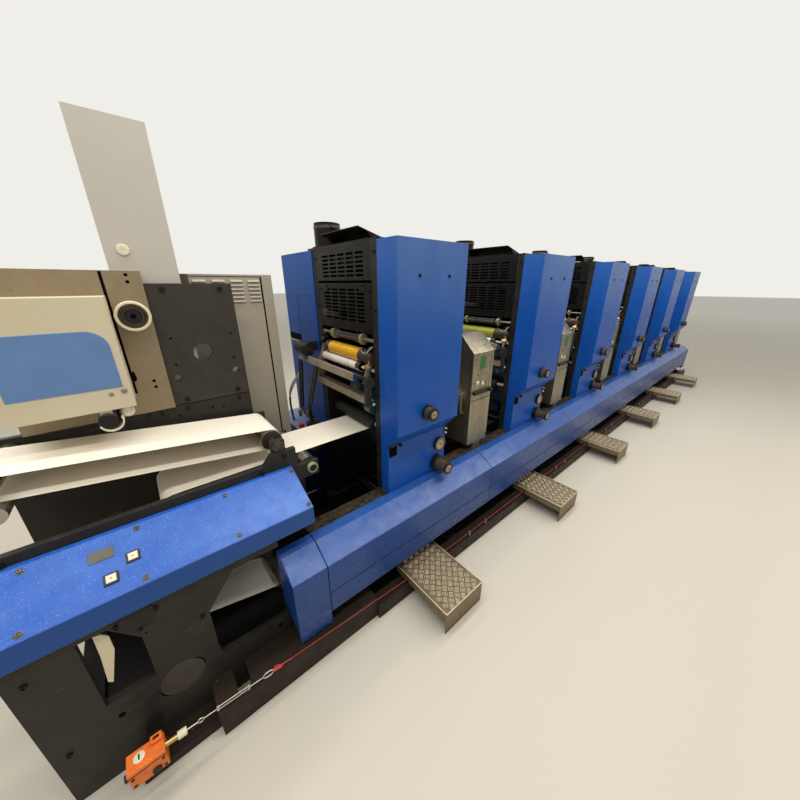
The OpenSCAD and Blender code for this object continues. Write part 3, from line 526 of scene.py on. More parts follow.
def black_paint():
    """Black powder coat of the guards and roof plates."""
    made = Finish("black coat", srgb(11, 11, 10), 0.42, specular=0.2)
    made.mottle((8.0, 8.0, 8.0), 0.35, srgb(20, 19, 18))
    made.mottle((3.0, 3.0, 3.0), 0.22, srgb(46, 30, 22))
    made.edges(1.2, 0.5, srgb(84, 81, 74))
    made.grain(420.0, 0.08)
    return made.sheen_spread(20.0, 0.08).done()


def taupe_metal():
    """Rough machined plate with a warm stain."""
    made = Finish("taupe plate", srgb(142, 126, 100), 0.5, metal=0.45)
    made.mottle((6.0, 6.0, 4.0), 0.4, srgb(120, 104, 80))
    made.mottle((26.0, 26.0, 26.0), 0.25, srgb(160, 148, 124))
    made.specks(48.0, 0.06, 0.12, srgb(70, 58, 44))
    made.edges(1.2, 0.5, srgb(190, 180, 160))
    made.grain((40.0, 40.0, 220.0), 0.05)
    return made.done()


def plain_paint(name, colour, shade, rough=0.4, edge=(225, 222, 212)):
    """Sheet metal paint of the cabinets, with faint patches and pale edges, partly scuffs and partly painted
    highlight.
    """
    made = Finish(name, colour, rough)
    made.mottle((3.0, 3.0, 2.0), 0.4, shade)
    made.specks(34.0, 0.04, 0.08, srgb(70, 64, 54), 0.6)
    made.edges(1.2, 0.35, srgb(*edge))
    made.grain(300.0, 0.05)
    return made.sheen_spread(9.0, 0.07).done()


def stainless():
    """Brushed stainless sheet, tinted warm as a painted reflection of the room, with rubbed patches."""
    made = Finish("brushed stainless", srgb(150, 141, 118), 0.36, metal=0.85)
    made.mottle((6.0, 6.0, 5.0), 0.5, srgb(122, 112, 88))
    made.mottle((30.0, 30.0, 6.0), 0.25, srgb(196, 190, 174))
    made.specks(40.0, 0.06, 0.10, srgb(84, 72, 54), 0.7)
    made.scratches((14.0, 14.0, 2.0), 0.3, srgb(215, 210, 198))
    made.edges(1.6, 0.6, srgb(222, 218, 206))
    made.grain((30.0, 30.0, 700.0), 0.02)
    return made.sheen_spread((10.0, 10.0, 60.0), 0.12).done()


def tread_plate():
    """Checker plate with brown dirt between its lugs and olive dust on its skirts."""
    made = Finish("tread plate", srgb(104, 90, 66), 0.45, metal=0.4)
    made.mottle(16.0, 0.6, srgb(74, 60, 42))
    made.mottle(60.0, 0.5, srgb(150, 136, 106))
    made.specks(90.0, 0.18, 0.2, srgb(50, 40, 28), 0.7)
    made.tint(made.mask("z", 130, 138), srgb(122, 106, 74), 0.6)
    made.tint(made.mask("z", 0, 70), srgb(70, 58, 38), 0.5)
    made.edges(2.0, 0.6, srgb(205, 196, 172))
    made.grain(200.0, 0.12)
    return made.sheen_spread(50.0, 0.14).done()


def machined_steel():
    """Turned and ground steel of shafts and idlers."""
    made = Finish("ground steel", srgb(176, 172, 162), 0.28, metal=0.9)
    made.mottle(18.0, 0.4, srgb(132, 126, 114))
    made.specks(60.0, 0.07, 0.12, srgb(70, 60, 48), 0.6)
    made.edges(1.0, 0.4, srgb(220, 218, 210))
    made.grain((500.0, 20.0, 500.0), 0.02)
    return made.sheen_spread(30.0, 0.10).done()


def bright_roller():
    """Ground chrome-like metering roller with a film of varnish."""
    made = Finish("bright roller", srgb(232, 229, 222), 0.3, metal=0.1)
    made.mottle((10.0, 30.0, 10.0), 0.35, srgb(170, 166, 154))
    return made.sheen_spread(24.0, 0.08).done()


def yellow_rubber():
    """Ink roller: yellow rubber wet with ink."""
    made = Finish("yellow ink rubber", srgb(226, 170, 8), 0.3, coat=0.4)
    made.mottle((14.0, 6.0, 14.0), 0.5, srgb(196, 138, 4))
    made.specks(80.0, 0.06, 0.15, srgb(110, 80, 12), 0.7)
    made.grain(160.0, 0.06)
    return made.sheen_spread(20.0, 0.1).done()


def green_rubber():
    """The second unit's roller carries another ink."""
    made = Finish("olive ink rubber", srgb(150, 156, 34), 0.32, coat=0.3)
    made.mottle((14.0, 6.0, 14.0), 0.5, srgb(116, 122, 20))
    return made.sheen_spread(20.0, 0.1).done()


def bar_steel():
    """Tie bars: ground steel above the paper, near black below it."""
    made = Finish("tie bar steel", srgb(128, 122, 108), 0.4, metal=0.6)
    made.mottle(18.0, 0.5, srgb(84, 78, 66))
    made.tint(made.mask("z", 600, 700), srgb(14, 13, 12))
    return made.done()


def fountain_metal():
    """Taupe fountain, whose near cheek is black with ink."""
    made = Finish("fountain metal", srgb(160, 148, 126), 0.45, metal=0.2)
    made.mottle(16.0, 0.5, srgb(118, 104, 82))
    made.specks(70.0, 0.10, 0.14, srgb(60, 50, 38), 0.7)
    made.tint(made.mask("y", 203, 205), srgb(34, 31, 28), 0.9)
    return made.done()


def black_rubber():
    made = Finish("black rubber", srgb(28, 27, 26), 0.5)
    made.mottle(30.0, 0.4, srgb(48, 46, 43))
    made.grain(300.0, 0.1)
    return made.done()


def black_plastic():
    """Brown-black grip plastic, polished by hands and dusty in its grooves."""
    made = Finish("knob plastic", srgb(74, 64, 48), 0.42)
    made.mottle(40.0, 0.5, srgb(104, 92, 68))
    made.edges(1.0, 0.5, srgb(120, 106, 86))
    made.grain(350.0, 0.06)
    return made.sheen_spread(40.0, 0.1).done()


def brass():
    """Brass discs and fittings, tarnished in patches."""
    made = Finish("brass", srgb(186, 154, 98), 0.34, metal=0.85)
    made.mottle(60.0, 0.5, srgb(140, 108, 64))
    made.specks(150.0, 0.15, 0.2, srgb(84, 62, 38), 0.7)
    made.edges(0.8, 0.4, srgb(222, 196, 146))
    return made.sheen_spread(60.0, 0.12).done()


def paper():
    """Uncoated label paper with a faint wander of tone."""
    made = Finish("paper", srgb(247, 239, 222), 0.62, specular=0.3)
    made.mottle((1.5, 8.0, 1.5), 0.3, srgb(243, 232, 210))
    made.grain(400.0, 0.03)
    return made.done()


def orange_paint():
    """Safety switch: chipped, dusty orange casting."""
    made = Finish("orange casting", srgb(240, 118, 30), 0.42)
    made.mottle(20.0, 0.4, srgb(214, 92, 22))
    made.mottle(46.0, 0.35, srgb(120, 80, 48))
    made.specks(120.0, 0.12, 0.2, srgb(70, 54, 42), 0.7)
    made.edges(1.4, 0.6, srgb(250, 170, 110))
    made.grain(220.0, 0.12)
    return made.done()


def red_cord():
    """Red plastic-covered wire rope, with a fine twist."""
    made = Finish("red cord", srgb(188, 52, 42), 0.4)
    made.mottle(20.0, 0.4, srgb(128, 44, 36))
    return made.grain((400.0, 900.0, 900.0), 0.4).done()


def simple(name, colour, rough, metal=0.0, coat=0.0, shade=None, scale=40.0):
    """A small part's surface: one colour that wanders into a second one."""
    made = Finish(name, colour, rough, metal, coat)
    made.mottle(scale, 0.4, shade or tuple(c * 0.6 for c in colour[:3]) + (1,))
    made.grain(350.0, 0.04)
    return made.sheen_spread(scale, 0.08).done()


BLUE = blue_paint()
GEAR_BLUE = gear_paint()
CONSOLE_BLUE = console_paint()
PLINTH = plinth_paint()
DARK = dark_plate()
FRAME_EDGE = dark_plate("frame plate", srgb(30, 29, 27))
INNER = inner_plate()
BASE = base_steel()
PIT = pit_steel()
BLACK = black_paint()
TAUPE = taupe_metal()
CREAM = plain_paint("cream paint", srgb(214, 202, 172), srgb(196, 180, 144))
GREY = plain_paint("grey paint", srgb(172, 164, 148), srgb(156, 148, 130))
TOWER = plain_paint("tower paint", srgb(190, 185, 174), srgb(176, 170, 156))
STAINLESS = stainless()
TREAD = tread_plate()
LUG = simple("rubbed lugs", srgb(200, 186, 156), 0.4, 0.3, shade=srgb(112, 96, 70), scale=60.0)
RIM = simple("worn rim", srgb(214, 202, 174), 0.4, 0.4, shade=srgb(100, 84, 58), scale=24.0)
STEEL = machined_steel()
BRIGHT = bright_roller()
YELLOW = yellow_rubber()
OLIVE = green_rubber()
RUBBER = black_rubber()
PLASTIC = black_plastic()
BRASS = brass()
PAPER = paper()
ORANGE = orange_paint()
CORD = red_cord()
SCREW = simple("screw steel", srgb(88, 84, 76), 0.35, 0.8, shade=srgb(60, 50, 40))
BLACK_SCREW = simple("black screw", srgb(26, 25, 24), 0.4, 0.4)
IVORY = simple("ivory plastic", srgb(222, 214, 190), 0.45, shade=srgb(200, 188, 158))
WHITE_TUBE = simple("white tube", srgb(238, 234, 222), 0.4, shade=srgb(214, 206, 184))
TAN = simple("dial face", srgb(176, 158, 124), 0.5)
OLIVE_RING = simple("olive ring", srgb(150, 150, 112), 0.45, shade=srgb(96, 88, 58))
BROWN = simple("brown ring", srgb(104, 86, 60), 0.45, shade=srgb(66, 52, 36))
DARK_END = simple("dark end face", srgb(54, 45, 37), 0.45, shade=srgb(30, 25, 21))
TEAL = simple("teal enamel", srgb(20, 56, 66), 0.35, coat=0.2)
BLANKET = simple("blanket rubber", srgb(34, 62, 74), 0.35, shade=srgb(22, 34, 40), scale=12.0)
LAVENDER = simple("pale blue lid", srgb(128, 138, 184), 0.5, shade=srgb(96, 108, 158), scale=14.0)
FOUNTAIN = fountain_metal()
TIE = bar_steel()
RUBBED = dark_plate("rubbed plate", srgb(60, 57, 51))
WIRE = simple("wire rope", srgb(196, 190, 174), 0.35, 0.5)
RED = simple("red plastic", srgb(186, 50, 28), 0.4)
GREEN = simple("green plate", srgb(44, 104, 50), 0.5)
PANEL_BLUE = simple("panel blue", srgb(98, 134, 182), 0.4, shade=srgb(86, 120, 166), scale=12.0)
DEEP = Finish("deep shade", srgb(9, 8, 8), 0.9, specular=0.05).done()
BAR_METAL = simple("aluminium bar", srgb(150, 140, 122), 0.45, 0.6, shade=srgb(118, 106, 86), scale=20.0)
GOLD = simple("gold ring", srgb(150, 120, 70), 0.35, 0.7)
KNOB_FACE = simple("knob face", srgb(166, 148, 116), 0.4, 0.4, shade=srgb(112, 94, 64))
DISPLAY = simple("display glass", srgb(84, 78, 68), 0.5)


def paint_nodes():
    """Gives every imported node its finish."""
    finishes = {
        BLUE: ["tall_covers", "lower_covers"], GEAR_BLUE: ["gear_cabinets"],
        CONSOLE_BLUE: ["console"], PLINTH: ["plinth"],
        DARK: ["infeed_side_plates", "agitator_motors"], RUBBED: ["upper_back_plate"],
        FRAME_EDGE: ["front_frames"], INNER: ["rear_frames", "exit_panels"],
        BASE: ["base_beams"], PIT: ["cross_beams"],
        BLACK: ["roof_plates", "roof_flaps", "upper_guards", "exhaust_spigots", "dials"]
        + [f"guard_{i}" for i in UNITS],
        TAUPE: ["hub_plate"], CREAM: ["web_cleaner"], GREY: ["switchgear_cabinet"], TOWER: ["tower"],
        STAINLESS: ["drying_cabinets"], TREAD: ["steps"],
        TIE: ["tie_bars"], STEEL: ["guide_rollers", "infeed_idler", "small_idler", "cord_posts"],
        BLANKET: ["printing_cylinders"], FOUNTAIN: ["ink_trays"], BRIGHT: ["metering_rollers"],
        RUBBER: ["ink_hoses"],
        YELLOW: [f"ink_roller_{i}" for i in UNITS if i != 2], OLIVE: ["ink_roller_2"],
        PLASTIC: [f"{level}_knob_{i}" for level in ("upper", "lower") for i in UNITS],
        PAPER: ["web"], ORANGE: ["switch_box"], CORD: ["pull_cord"],
    }
    for material, names in finishes.items():
        for name in names:
            mesh_slots = nodes[name].material_slots
            for index in range(len(mesh_slots)):
                mesh_slots[index].link = "OBJECT"
                mesh_slots[index].material = material


paint_nodes()


# Printing units. Each piece here is repeated on all six.

FRONT = line_box("tall_covers")[0].y
LOWER_FRONT = line_box("lower_covers")[0].y
FRAME_NEAR, FRAME_FAR = line_box("front_frames")[0].y, line_box("rear_frames")[1].y
INNER_NEAR, INNER_FAR = line_box("front_frames")[1].y, line_box("rear_frames")[0].y
ROOF = line_box("roof_plates")[1].z
UNIT_LENGTH = first_box("roof_plates")[1].x
GEAR_BACK = line_box("gear_cabinets")[1].y


def cover_hardware():
    """Screws on the tall covers, and the latch at the corner of the lower ones."""
    screws = Shape()
    for x in (132, 329):
        screws.screw((x, FRONT, 1717), "y", 13)
    for x in (40, 420):
        screws.screw((x, LOWER_FRONT, 500), "y", 11)
    screws.done("cover_screws", BLACK_SCREW, slot="dark_frame", each_unit=True)
    # The latch's recess is a flat black plate: painted shade.
    latch = Shape().box((4, LOWER_FRONT - 2, 788), (60, LOWER_FRONT, 862))
    latch.done("latch_pocket_shade", DEEP, slot="black_paint", bevel=1, each_unit=True)
    lever = Shape().prism([(2, 850), (2, 862), (74, 867), (74, 857), (62, 850)], LOWER_FRONT - 9, LOWER_FRONT)
    lever.turned([(0, 7), (-6, 9), (-16, 10), (-20, 7)], (80, LOWER_FRONT, 846), "y", 20)
    lever.done("latch_levers", BLACK_SCREW, slot="black_paint", bevel=1, each_unit=True)
    valve = Shape().box((441, LOWER_FRONT - 3, 796), (452, LOWER_FRONT + 18, 850))
    valve.done("air_valves", BLACK_SCREW, slot="dark_frame", bevel=1, each_unit=True)
    stubs = Shape()
    for z in (808, 838):
        stubs.bar((447, LOWER_FRONT - 3, z), "y", -14, 0, 10, 16)
    stubs.done("air_couplings", WHITE_TUBE, slot="machined_steel", bevel=0.6, each_unit=True)


def dial_faces():
    """A tan face with plain tick marks and one hand, sunk in each dial's ring."""
    low, high = first_box("dials")
    x, z = (low.x + high.x) / 2, (low.z + high.z) / 2
    radius = (high.z - low.z) / 2
    front = low.y
    ring = Shape().turned([(0, radius), (-5, radius), (-7, radius - 3), (-7, radius - 8), (-2, radius - 9),
                           (-2, 2)], (x, front, z), "y", 40)
    ring.done("dial_rings", BROWN, slot="black_plastic", each_unit=True)
    face = Shape().bar((x, front, z), "y", -2.6, -2, 2 * (radius - 9), 40)
    face.done("dial_faces", TAN, slot="black_plastic", each_unit=True)
    marks = Shape()
    tick = Vector((3, 0.4, 0.7))
    for k in range(12):
        angle = 2 * math.pi * k / 12
        spot = Vector((x + (radius - 14) * math.cos(angle), front - 3, z + (radius - 14) * math.sin(angle)))
        turn = Matrix.Rotation(-angle, 4, "Y")
        marks.box(spot - tick, spot + tick, turn)
    hand = Matrix.Rotation(math.radians(35), 4, "Y")
    marks.box((x - 2, front - 3.6, z - 1.2), (x + 22, front - 3, z + 1.2), hand)
    marks.bar((x, front, z), "y", -5, -2.6, 8, 16)
    marks.done("dial_marks", BLACK_SCREW, slot="black_plastic", each_unit=True)


def knob(number, level, waist, flange, flange_length, disc):
    """A fluted hand knob with a flange behind and a slotted brass disc in its end."""
    node = f"{level}_knob_{number}"
    low, high = line_box(node)
    x, z = (low.x + high.x) / 2, (low.z + high.z) / 2
    front, back = low.y, FRONT - 5 if level == "upper" else LOWER_FRONT - 5
    body = Shape()
    collar = [(0, flange), (flange_length, flange), (flange_length + 2, flange - 3)]
    body.turned(collar, (x, back - flange_length - 2, z), "y", 48)
    grip_start = back - flange_length
    length = grip_start - front
    grip = Shape()
    grip.turned([(0, waist - 6), (-2, waist), (-length * 0.55, waist - 2), (-length + 12, waist),
                 (-length + 11, waist + 1)], (x, grip_start, z), "y", 96, flutes=24, flute=0.035)
    lip = waist + 2
    body.turned([(12, waist - 1), (10, lip), (2, lip), (0, lip - 3), (0, disc + 2), (3, disc + 1), (3, 1)],
                (x, front, z), "y", 48)
    shaft = high.y - back
    body.bar((x, back, z), "y", -4, shaft, 20, 20)
    name = f"{level}_grip_{number}"
    piece = grip.done(name, PLASTIC, body=node, slot="black_plastic")
    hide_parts(node)
    body.done(f"{level}_flange_{number}", BLACK_SCREW, body=node, slot="black_plastic", bevel=0.8)
    face = Shape().turned([(0, disc), (-2, disc), (-3, disc - 2), (-3, 1)], (x, front + 3, z), "y", 40)
    face.done(f"{level}_disc_{number}", KNOB_FACE, body=node, slot="black_plastic")
    slot_cut = Shape().box((x - disc * 0.62, front - 0.4, z - 1.8), (x + disc * 0.62, front + 0.4, z + 1.8))
    slot_cut.done(f"{level}_slot_{number}", DEEP, body=node, slot="black_plastic")


def guards():
    """Screws, hinge plates and a pull plate on each hinged guard, which move with it."""
    for number in UNITS:
        low, high = line_box(f"guard_{number}")
        x = PITCH * (number - 1)
        screws = Shape()
        for y in (INNER_NEAR + 26, INNER_FAR - 26):
            for z in (low.z + 18, 1652):
                screws.screw((x, y, z), "x", 11)
        screws.done(f"guard_screws_{number}", BLACK_SCREW, body=f"guard_{number}", slot="black_paint")
        hinge = Shape()
        for y in (INNER_NEAR + 60, INNER_FAR - 110):
            hinge.box((x - 2, y, 1640), (x, y + 50, 1672))
            hinge.bar((x - 1, y, 1678), "y", 0, 50, 9, 14)
        hinge.done(f"guard_hinges_{number}", BLACK, body=f"guard_{number}", slot="black_paint", bevel=0.5)
        pull = Shape().box((x - 42, 586, 1514), (x - 24, 628, 1544))
        for z in (1521, 1535):
            pull.bar((x - 37, 0, z), "y", 496, 590, 5, 10)
        pull.done(f"guard_pulls_{number}", SCREW, body=f"guard_{number}", slot="machined_steel", bevel=4)


def frame_edges():
    """Socket screws and a thin lighter line on the frame plates' infeed edges."""
    screws = Shape()
    for y in ((FRAME_NEAR + INNER_NEAR) / 2, (INNER_FAR + FRAME_FAR) / 2):
        for z in (1820, 1560, 1120, 780, 520):
            screws.screw((0, y, z), "x", 12)
    screws.done("frame_screws", BLACK_SCREW, slot="dark_frame", each_unit=True)
    trim = Shape().box((-1.2, INNER_NEAR - 4, 1450), (0, INNER_NEAR - 1, 1866))
    trim.done("frame_trim", SCREW, slot="machined_steel", each_unit=True)


def roof_parts():
    """Clamp bands on the exhaust spigots and screws on the roof plates."""
    low, high = line_box("exhaust_spigots")
    radius = (high.y - low.y) / 2
    x, y, top = low.x + radius, (low.y + high.y) / 2, high.z
    band = Shape().turned([(0, radius), (0, radius + 2.5), (14, radius + 2.5), (14, radius)],
                          (x, y, top - 30), "z", 48)
    band.box((x - 14, y - radius - 12, top - 30), (x + 14, y - radius, top - 16))
    band.bar((x, y - radius - 7, top - 23), "x", -24, 24, 7, 12)
    band.done("spigot_clamps", SCREW, slot="machined_steel", bevel=0.5, each_unit=True)
    flange = Shape().turned([(0, radius), (0, radius + 16), (5, radius + 16), (6, radius)],
                            (x, y, ROOF), "z", 48)
    for bolt_x, bolt_y in around(x, y, radius + 9, 6, 0.5):
        flange.bar((bolt_x, bolt_y, ROOF + 5), "z", 0, 4, 8, 6)
    flange.done("spigot_flanges", BLACK, slot="black_paint", each_unit=True)
    screws = Shape()
    for sx in (24, UNIT_LENGTH - 24):
        for sy in (FRAME_NEAR + 24, FRAME_NEAR + 320, FRAME_FAR + 30):
            screws.screw((sx, sy, ROOF), "z", 11, side=1)
    screws.done("roof_screws", BLACK_SCREW, slot="black_paint", each_unit=True)


def gear_cabinet_parts():
    """Door seams, recessed pulls and hinges on the gear cabinets' end and back doors."""
    seams = Shape()
    seams.box((-0.6, 1074, 1345), (0, 1077, 1606))
    seams.box((14, GEAR_BACK, 1600), (UNIT_LENGTH - 14, GEAR_BACK + 0.6, 1603))
    seams.box((14, GEAR_BACK, 230), (UNIT_LENGTH - 14, GEAR_BACK + 0.6, 233))
    for x in (14, UNIT_LENGTH - 17):
        seams.box((x, GEAR_BACK, 230), (x + 3, GEAR_BACK + 0.6, 1603))
    seams.done("gear_door_seams", DEEP, slot="blue_paint", each_unit=True)
    pulls = Shape().box((-1, 1080, 1295), (0, 1275, 1345))
    pulls.box((UNIT_LENGTH - 92, GEAR_BACK, 900), (UNIT_LENGTH - 52, GEAR_BACK + 1, 1060))
    pulls.done("gear_pull_pockets", DEEP, slot="black_paint", each_unit=True)
    lips = Shape().prism([(1080, 1286), (1275, 1286), (1275, 1299), (1080, 1299)], -6, 0, axis="x")
    lips.box((UNIT_LENGTH - 78, GEAR_BACK, 910), (UNIT_LENGTH - 66, GEAR_BACK + 9, 1050))
    lips.done("gear_pulls", BAR_METAL, slot="machined_steel", bevel=1, each_unit=True)
    hinges = Shape()
    for z in (380, 900, 1420):
        hinges.bar((8, GEAR_BACK + 4, z), "z", 0, 70, 9, 16)
    hinges.done("gear_hinges", BLACK_SCREW, slot="dark_frame", bevel=0.5, each_unit=True)
    vents = Shape()
    for k in range(9):
        z = 300 + 26 * k
        vents.prism([(GEAR_BACK, z), (GEAR_BACK + 7, z), (GEAR_BACK, z + 12)], 150, 310, axis="x")
    # A pale lavender sheet over the top of each drive box.
    lids = Shape().box((-177, 873, 720), (-1, GEAR_BACK - 1, 721.5))
    lids.done("drive_box_lids", LAVENDER, slot="blue_paint", each_unit=True)
    vents.done("gear_louvres", GEAR_BLUE, slot="blue_paint", bevel=0.6, each_unit=True)


def fountain_parts():
    """End tips, front plate, spout, side block and brass adjuster of each fountain."""
    plate = Shape().box((-114, 211, 1214), (-88, 219, 1258))
    plate.done("fountain_end_tips", GEAR_BLUE, slot="blue_paint", bevel=2, each_unit=True)
    front_band = Shape().box((-120, 216, 1220), (-112, 726, 1264))
    front_band.done("fountain_fronts", FOUNTAIN, slot="machined_steel", bevel=1.5, each_unit=True)
    spout = Shape().bar((-104, 0, 1226), "y", 702, 884, 25, 20)
    spout.done("fountain_spouts", BAR_METAL, slot="machined_steel", each_unit=True)
    block = Shape().box((-100, 225, 1166), (-62, 265, 1206))
    block.bar((-81, 245, 1206), "z", 0, 16, 20, 20)
    block.done("side_blocks", SCREW, slot="machined_steel", bevel=1.5, each_unit=True)
    nut = Shape().bar((-25, 208, 1275), "y", -14, 14, 38, 6)
    nut.bar((-25, 208, 1275), "y", -20, 26, 22, 20)
    nut.done("brass_adjusters", BRASS, slot="machined_steel", bevel=1, each_unit=True)


def roller_parts():
    """Dark sleeves on the roller ends, their arms, and the feed roller's ribs."""
    ink_x, ink_z = 18, 1318
    feed_x, feed_z = 70, 899
    metering_low = 1238
    metering_z = (line_box("metering_rollers")[1].z + metering_low) / 2
    sleeves = Shape()
    for low, high, d, x, z in ((196, 320, 78, ink_x, ink_z), (644, 690, 78, ink_x, ink_z),
                               (300, 336, 52, 0, metering_z)):
        sleeves.bar((x, 0, z), "y", low, high, d, 32)
    sleeves.done("roller_sleeves", DARK_END, slot="dark_frame", each_unit=True)
    brackets = Shape()
    for y in (INNER_NEAR + 14, INNER_FAR - 22):
        brackets.prism([(-66, 1196), (-40, 1196), (26, 1372), (8, 1380)], y, y + 8)
        brackets.bar((ink_x, y + 4, ink_z), "y", -8, 8, 52, 28)
    brackets.done("roller_arms", BAR_METAL, slot="machined_steel", bevel=1, each_unit=True)
    ribs = Shape()
    for k in range(25):
        y = 304 + 13 * k
        ribs.turned([(y, 38), (y, 39.5), (y + 7, 39.5), (y + 7, 38)], (feed_x, 0, feed_z), "y", 28)
    ribs.turned([(286, 20), (286, 38.6), (720, 38.6), (720, 20)], (feed_x, 0, feed_z), "y", 40)
    ribs.done("feed_roller_ribs", RUBBER, slot="black_rubber", each_unit=True)


def stirrer_parts():
    """The small fluted stirrer over each ink roller, with its rims and pins."""
    stirrer_x, stirrer_z = 12, 1408
    stirrer = Shape().turned([(330, 16), (334, 24), (352, 24), (356, 20), (536, 20), (540, 24), (560, 24),
                              (564, 16)], (stirrer_x, 0, stirrer_z), "y", 28, flutes=14, flute=0.12)
    stirrer.done("stirrer_drums", SCREW, slot="machined_steel", each_unit=True)
    rims = Shape()
    for y in (296, 597):
        rims.turned([(0, 29), (0, 30), (-3, 30), (-4, 28), (-4, 22), (-2, 21), (-2, 3)],
                    (stirrer_x, y, stirrer_z), "y", 36)
    rims.done("stirrer_rims", OLIVE_RING, slot="machined_steel", each_unit=True)
    pins = Shape()
    for y in (296, 597):
        for x, z in around(stirrer_x, stirrer_z, 19, 4, 0.4):
            pins.bar((x, y, z), "y", -7, 0, 8, 12)
    pins.done("stirrer_pins", BRASS, slot="machined_steel", bevel=0.5, each_unit=True)


def throw_off_parts():
    """Teal housings, white couplings and dark levers between the frames."""
    teal = Shape().turned([(0, 30), (0, 44), (4, 46), (60, 46), (64, 42), (64, 12), (72, 12), (72, 2)],
                          (14, INNER_NEAR + 4, 1052), "y", 36)
    teal.done("teal_housings", TEAL, slot="dark_frame", each_unit=True)
    couplings = Shape()
    couplings.bar((-6, INNER_NEAR + 6, 1072), "y", -4, 16, 16, 16)
    couplings.bar((-6, INNER_NEAR + 26, 1094), "y", -4, 10, 12, 16)
    couplings.done("white_couplings", WHITE_TUBE, slot="machined_steel", bevel=0.6, each_unit=True)
    clutter = Shape()
    for y, z, d in ((INNER_FAR - 40, 1392, 30), (INNER_FAR - 20, 1350, 44), (INNER_NEAR + 20, 1362, 40),
                    (INNER_NEAR + 34, 1222, 34)):
        clutter.bar((4, y, z), "y", -12, 12, d, 20)
        clutter.bar((-22, y, z), "x", 0, 24, d * 0.4, 14)
    for y in (INNER_NEAR + 70, INNER_NEAR + 250, INNER_NEAR + 430):
        clutter.screw((-20, y, 1085), "x", 12)
    clutter.done("throw_off_levers", BLACK_SCREW, slot="dark_frame", bevel=0.8, each_unit=True)


def air_lines():
    """The thin line at the ink roller, and the risers and sleeves at the gear side."""
    wires = Shape()
    wires.tube([(0, 300, 1364), (-26, 262, 1352), (-34, 214, 1350), (-16, 200, 1372), (0, 198, 1380)], 4)
    wires.done("thin_air_lines", WIRE, slot="machined_steel", each_unit=True)
    risers = Shape()
    for shift in (0, 17):
        risers.tube([(-110 + shift, 925, 1110), (-108 + shift, 1010, 1050), (-110 + shift, 1081, 994),
                     (-118 + shift / 2, 1120, 930), (-120, 1129, 882)], 12)
    risers.done("white_risers", WHITE_TUBE, slot="machined_steel", each_unit=True)
    sleeves = Shape().tube([(-120, 1129, 884), (-126, 1118, 830), (-132, 1086, 770), (-138, 1051, 725)], 15)
    sleeves.done("line_sleeves", RUBBER, slot="black_rubber", each_unit=True)


def hose_parts():
    """Covers, brass fittings and drain valves of the ink hoses."""
    covers = Shape().tube([(-105, 888, 1190), (-127, 888, 890)], 30)
    covers.tube([(-93, 674, 1198), (-104, 680, 1160), (-145, 710, 957)], 29)
    covers.done("hose_covers", RUBBER, slot="black_rubber", each_unit=True)
    fittings = Shape()
    fittings.bar((-146, 889, 838), "z", -18, 18, 28, 6)
    fittings.bar((-146, 889, 838), "z", -26, 26, 20, 20)
    fittings.bar((-146, 751, 872), "z", -20, 20, 30, 6)
    fittings.bar((-146, 751, 872), "z", -28, 28, 22, 20)
    fittings.done("hose_fittings", BRASS, slot="machined_steel", bevel=1, each_unit=True)
    valve = Shape().bar((-156, 873, 745), "y", -16, 16, 34, 20)
    valve.box((-166, 850, 756), (-146, 896, 766))
    valve.done("drain_valves", RED, slot="black_plastic", bevel=1.5, each_unit=True)


def motor_rings():
    """Bands, ribs and an end cap on the drive motor beside the fountain."""
    x, near, z, radius = -105, 744, 1298, 42
    rings = Shape()
    for y in (near + 18, near + 52, near + 96):
        rings.turned([(0, radius), (0, radius + 2), (6, radius + 2), (6, radius)], (x, y, z), "y", 40)
    rings.done("motor_bands", SCREW, slot="machined_steel", each_unit=True)
    ribs = Shape()
    ribs.turned([(0, radius - 8), (0, radius), (-6, radius - 2), (-10, 14), (-16, 12), (-16, 1)],
                (x, near, z), "y", 40)
    for rib_x, rib_z in around(x, z, radius + 0.5, 10):
        ribs.bar((rib_x, near + 60, rib_z), "y", 0, 34, 4, 8)
    ribs.done("motor_ribs", BLACK_SCREW, slot="dark_frame", each_unit=True)


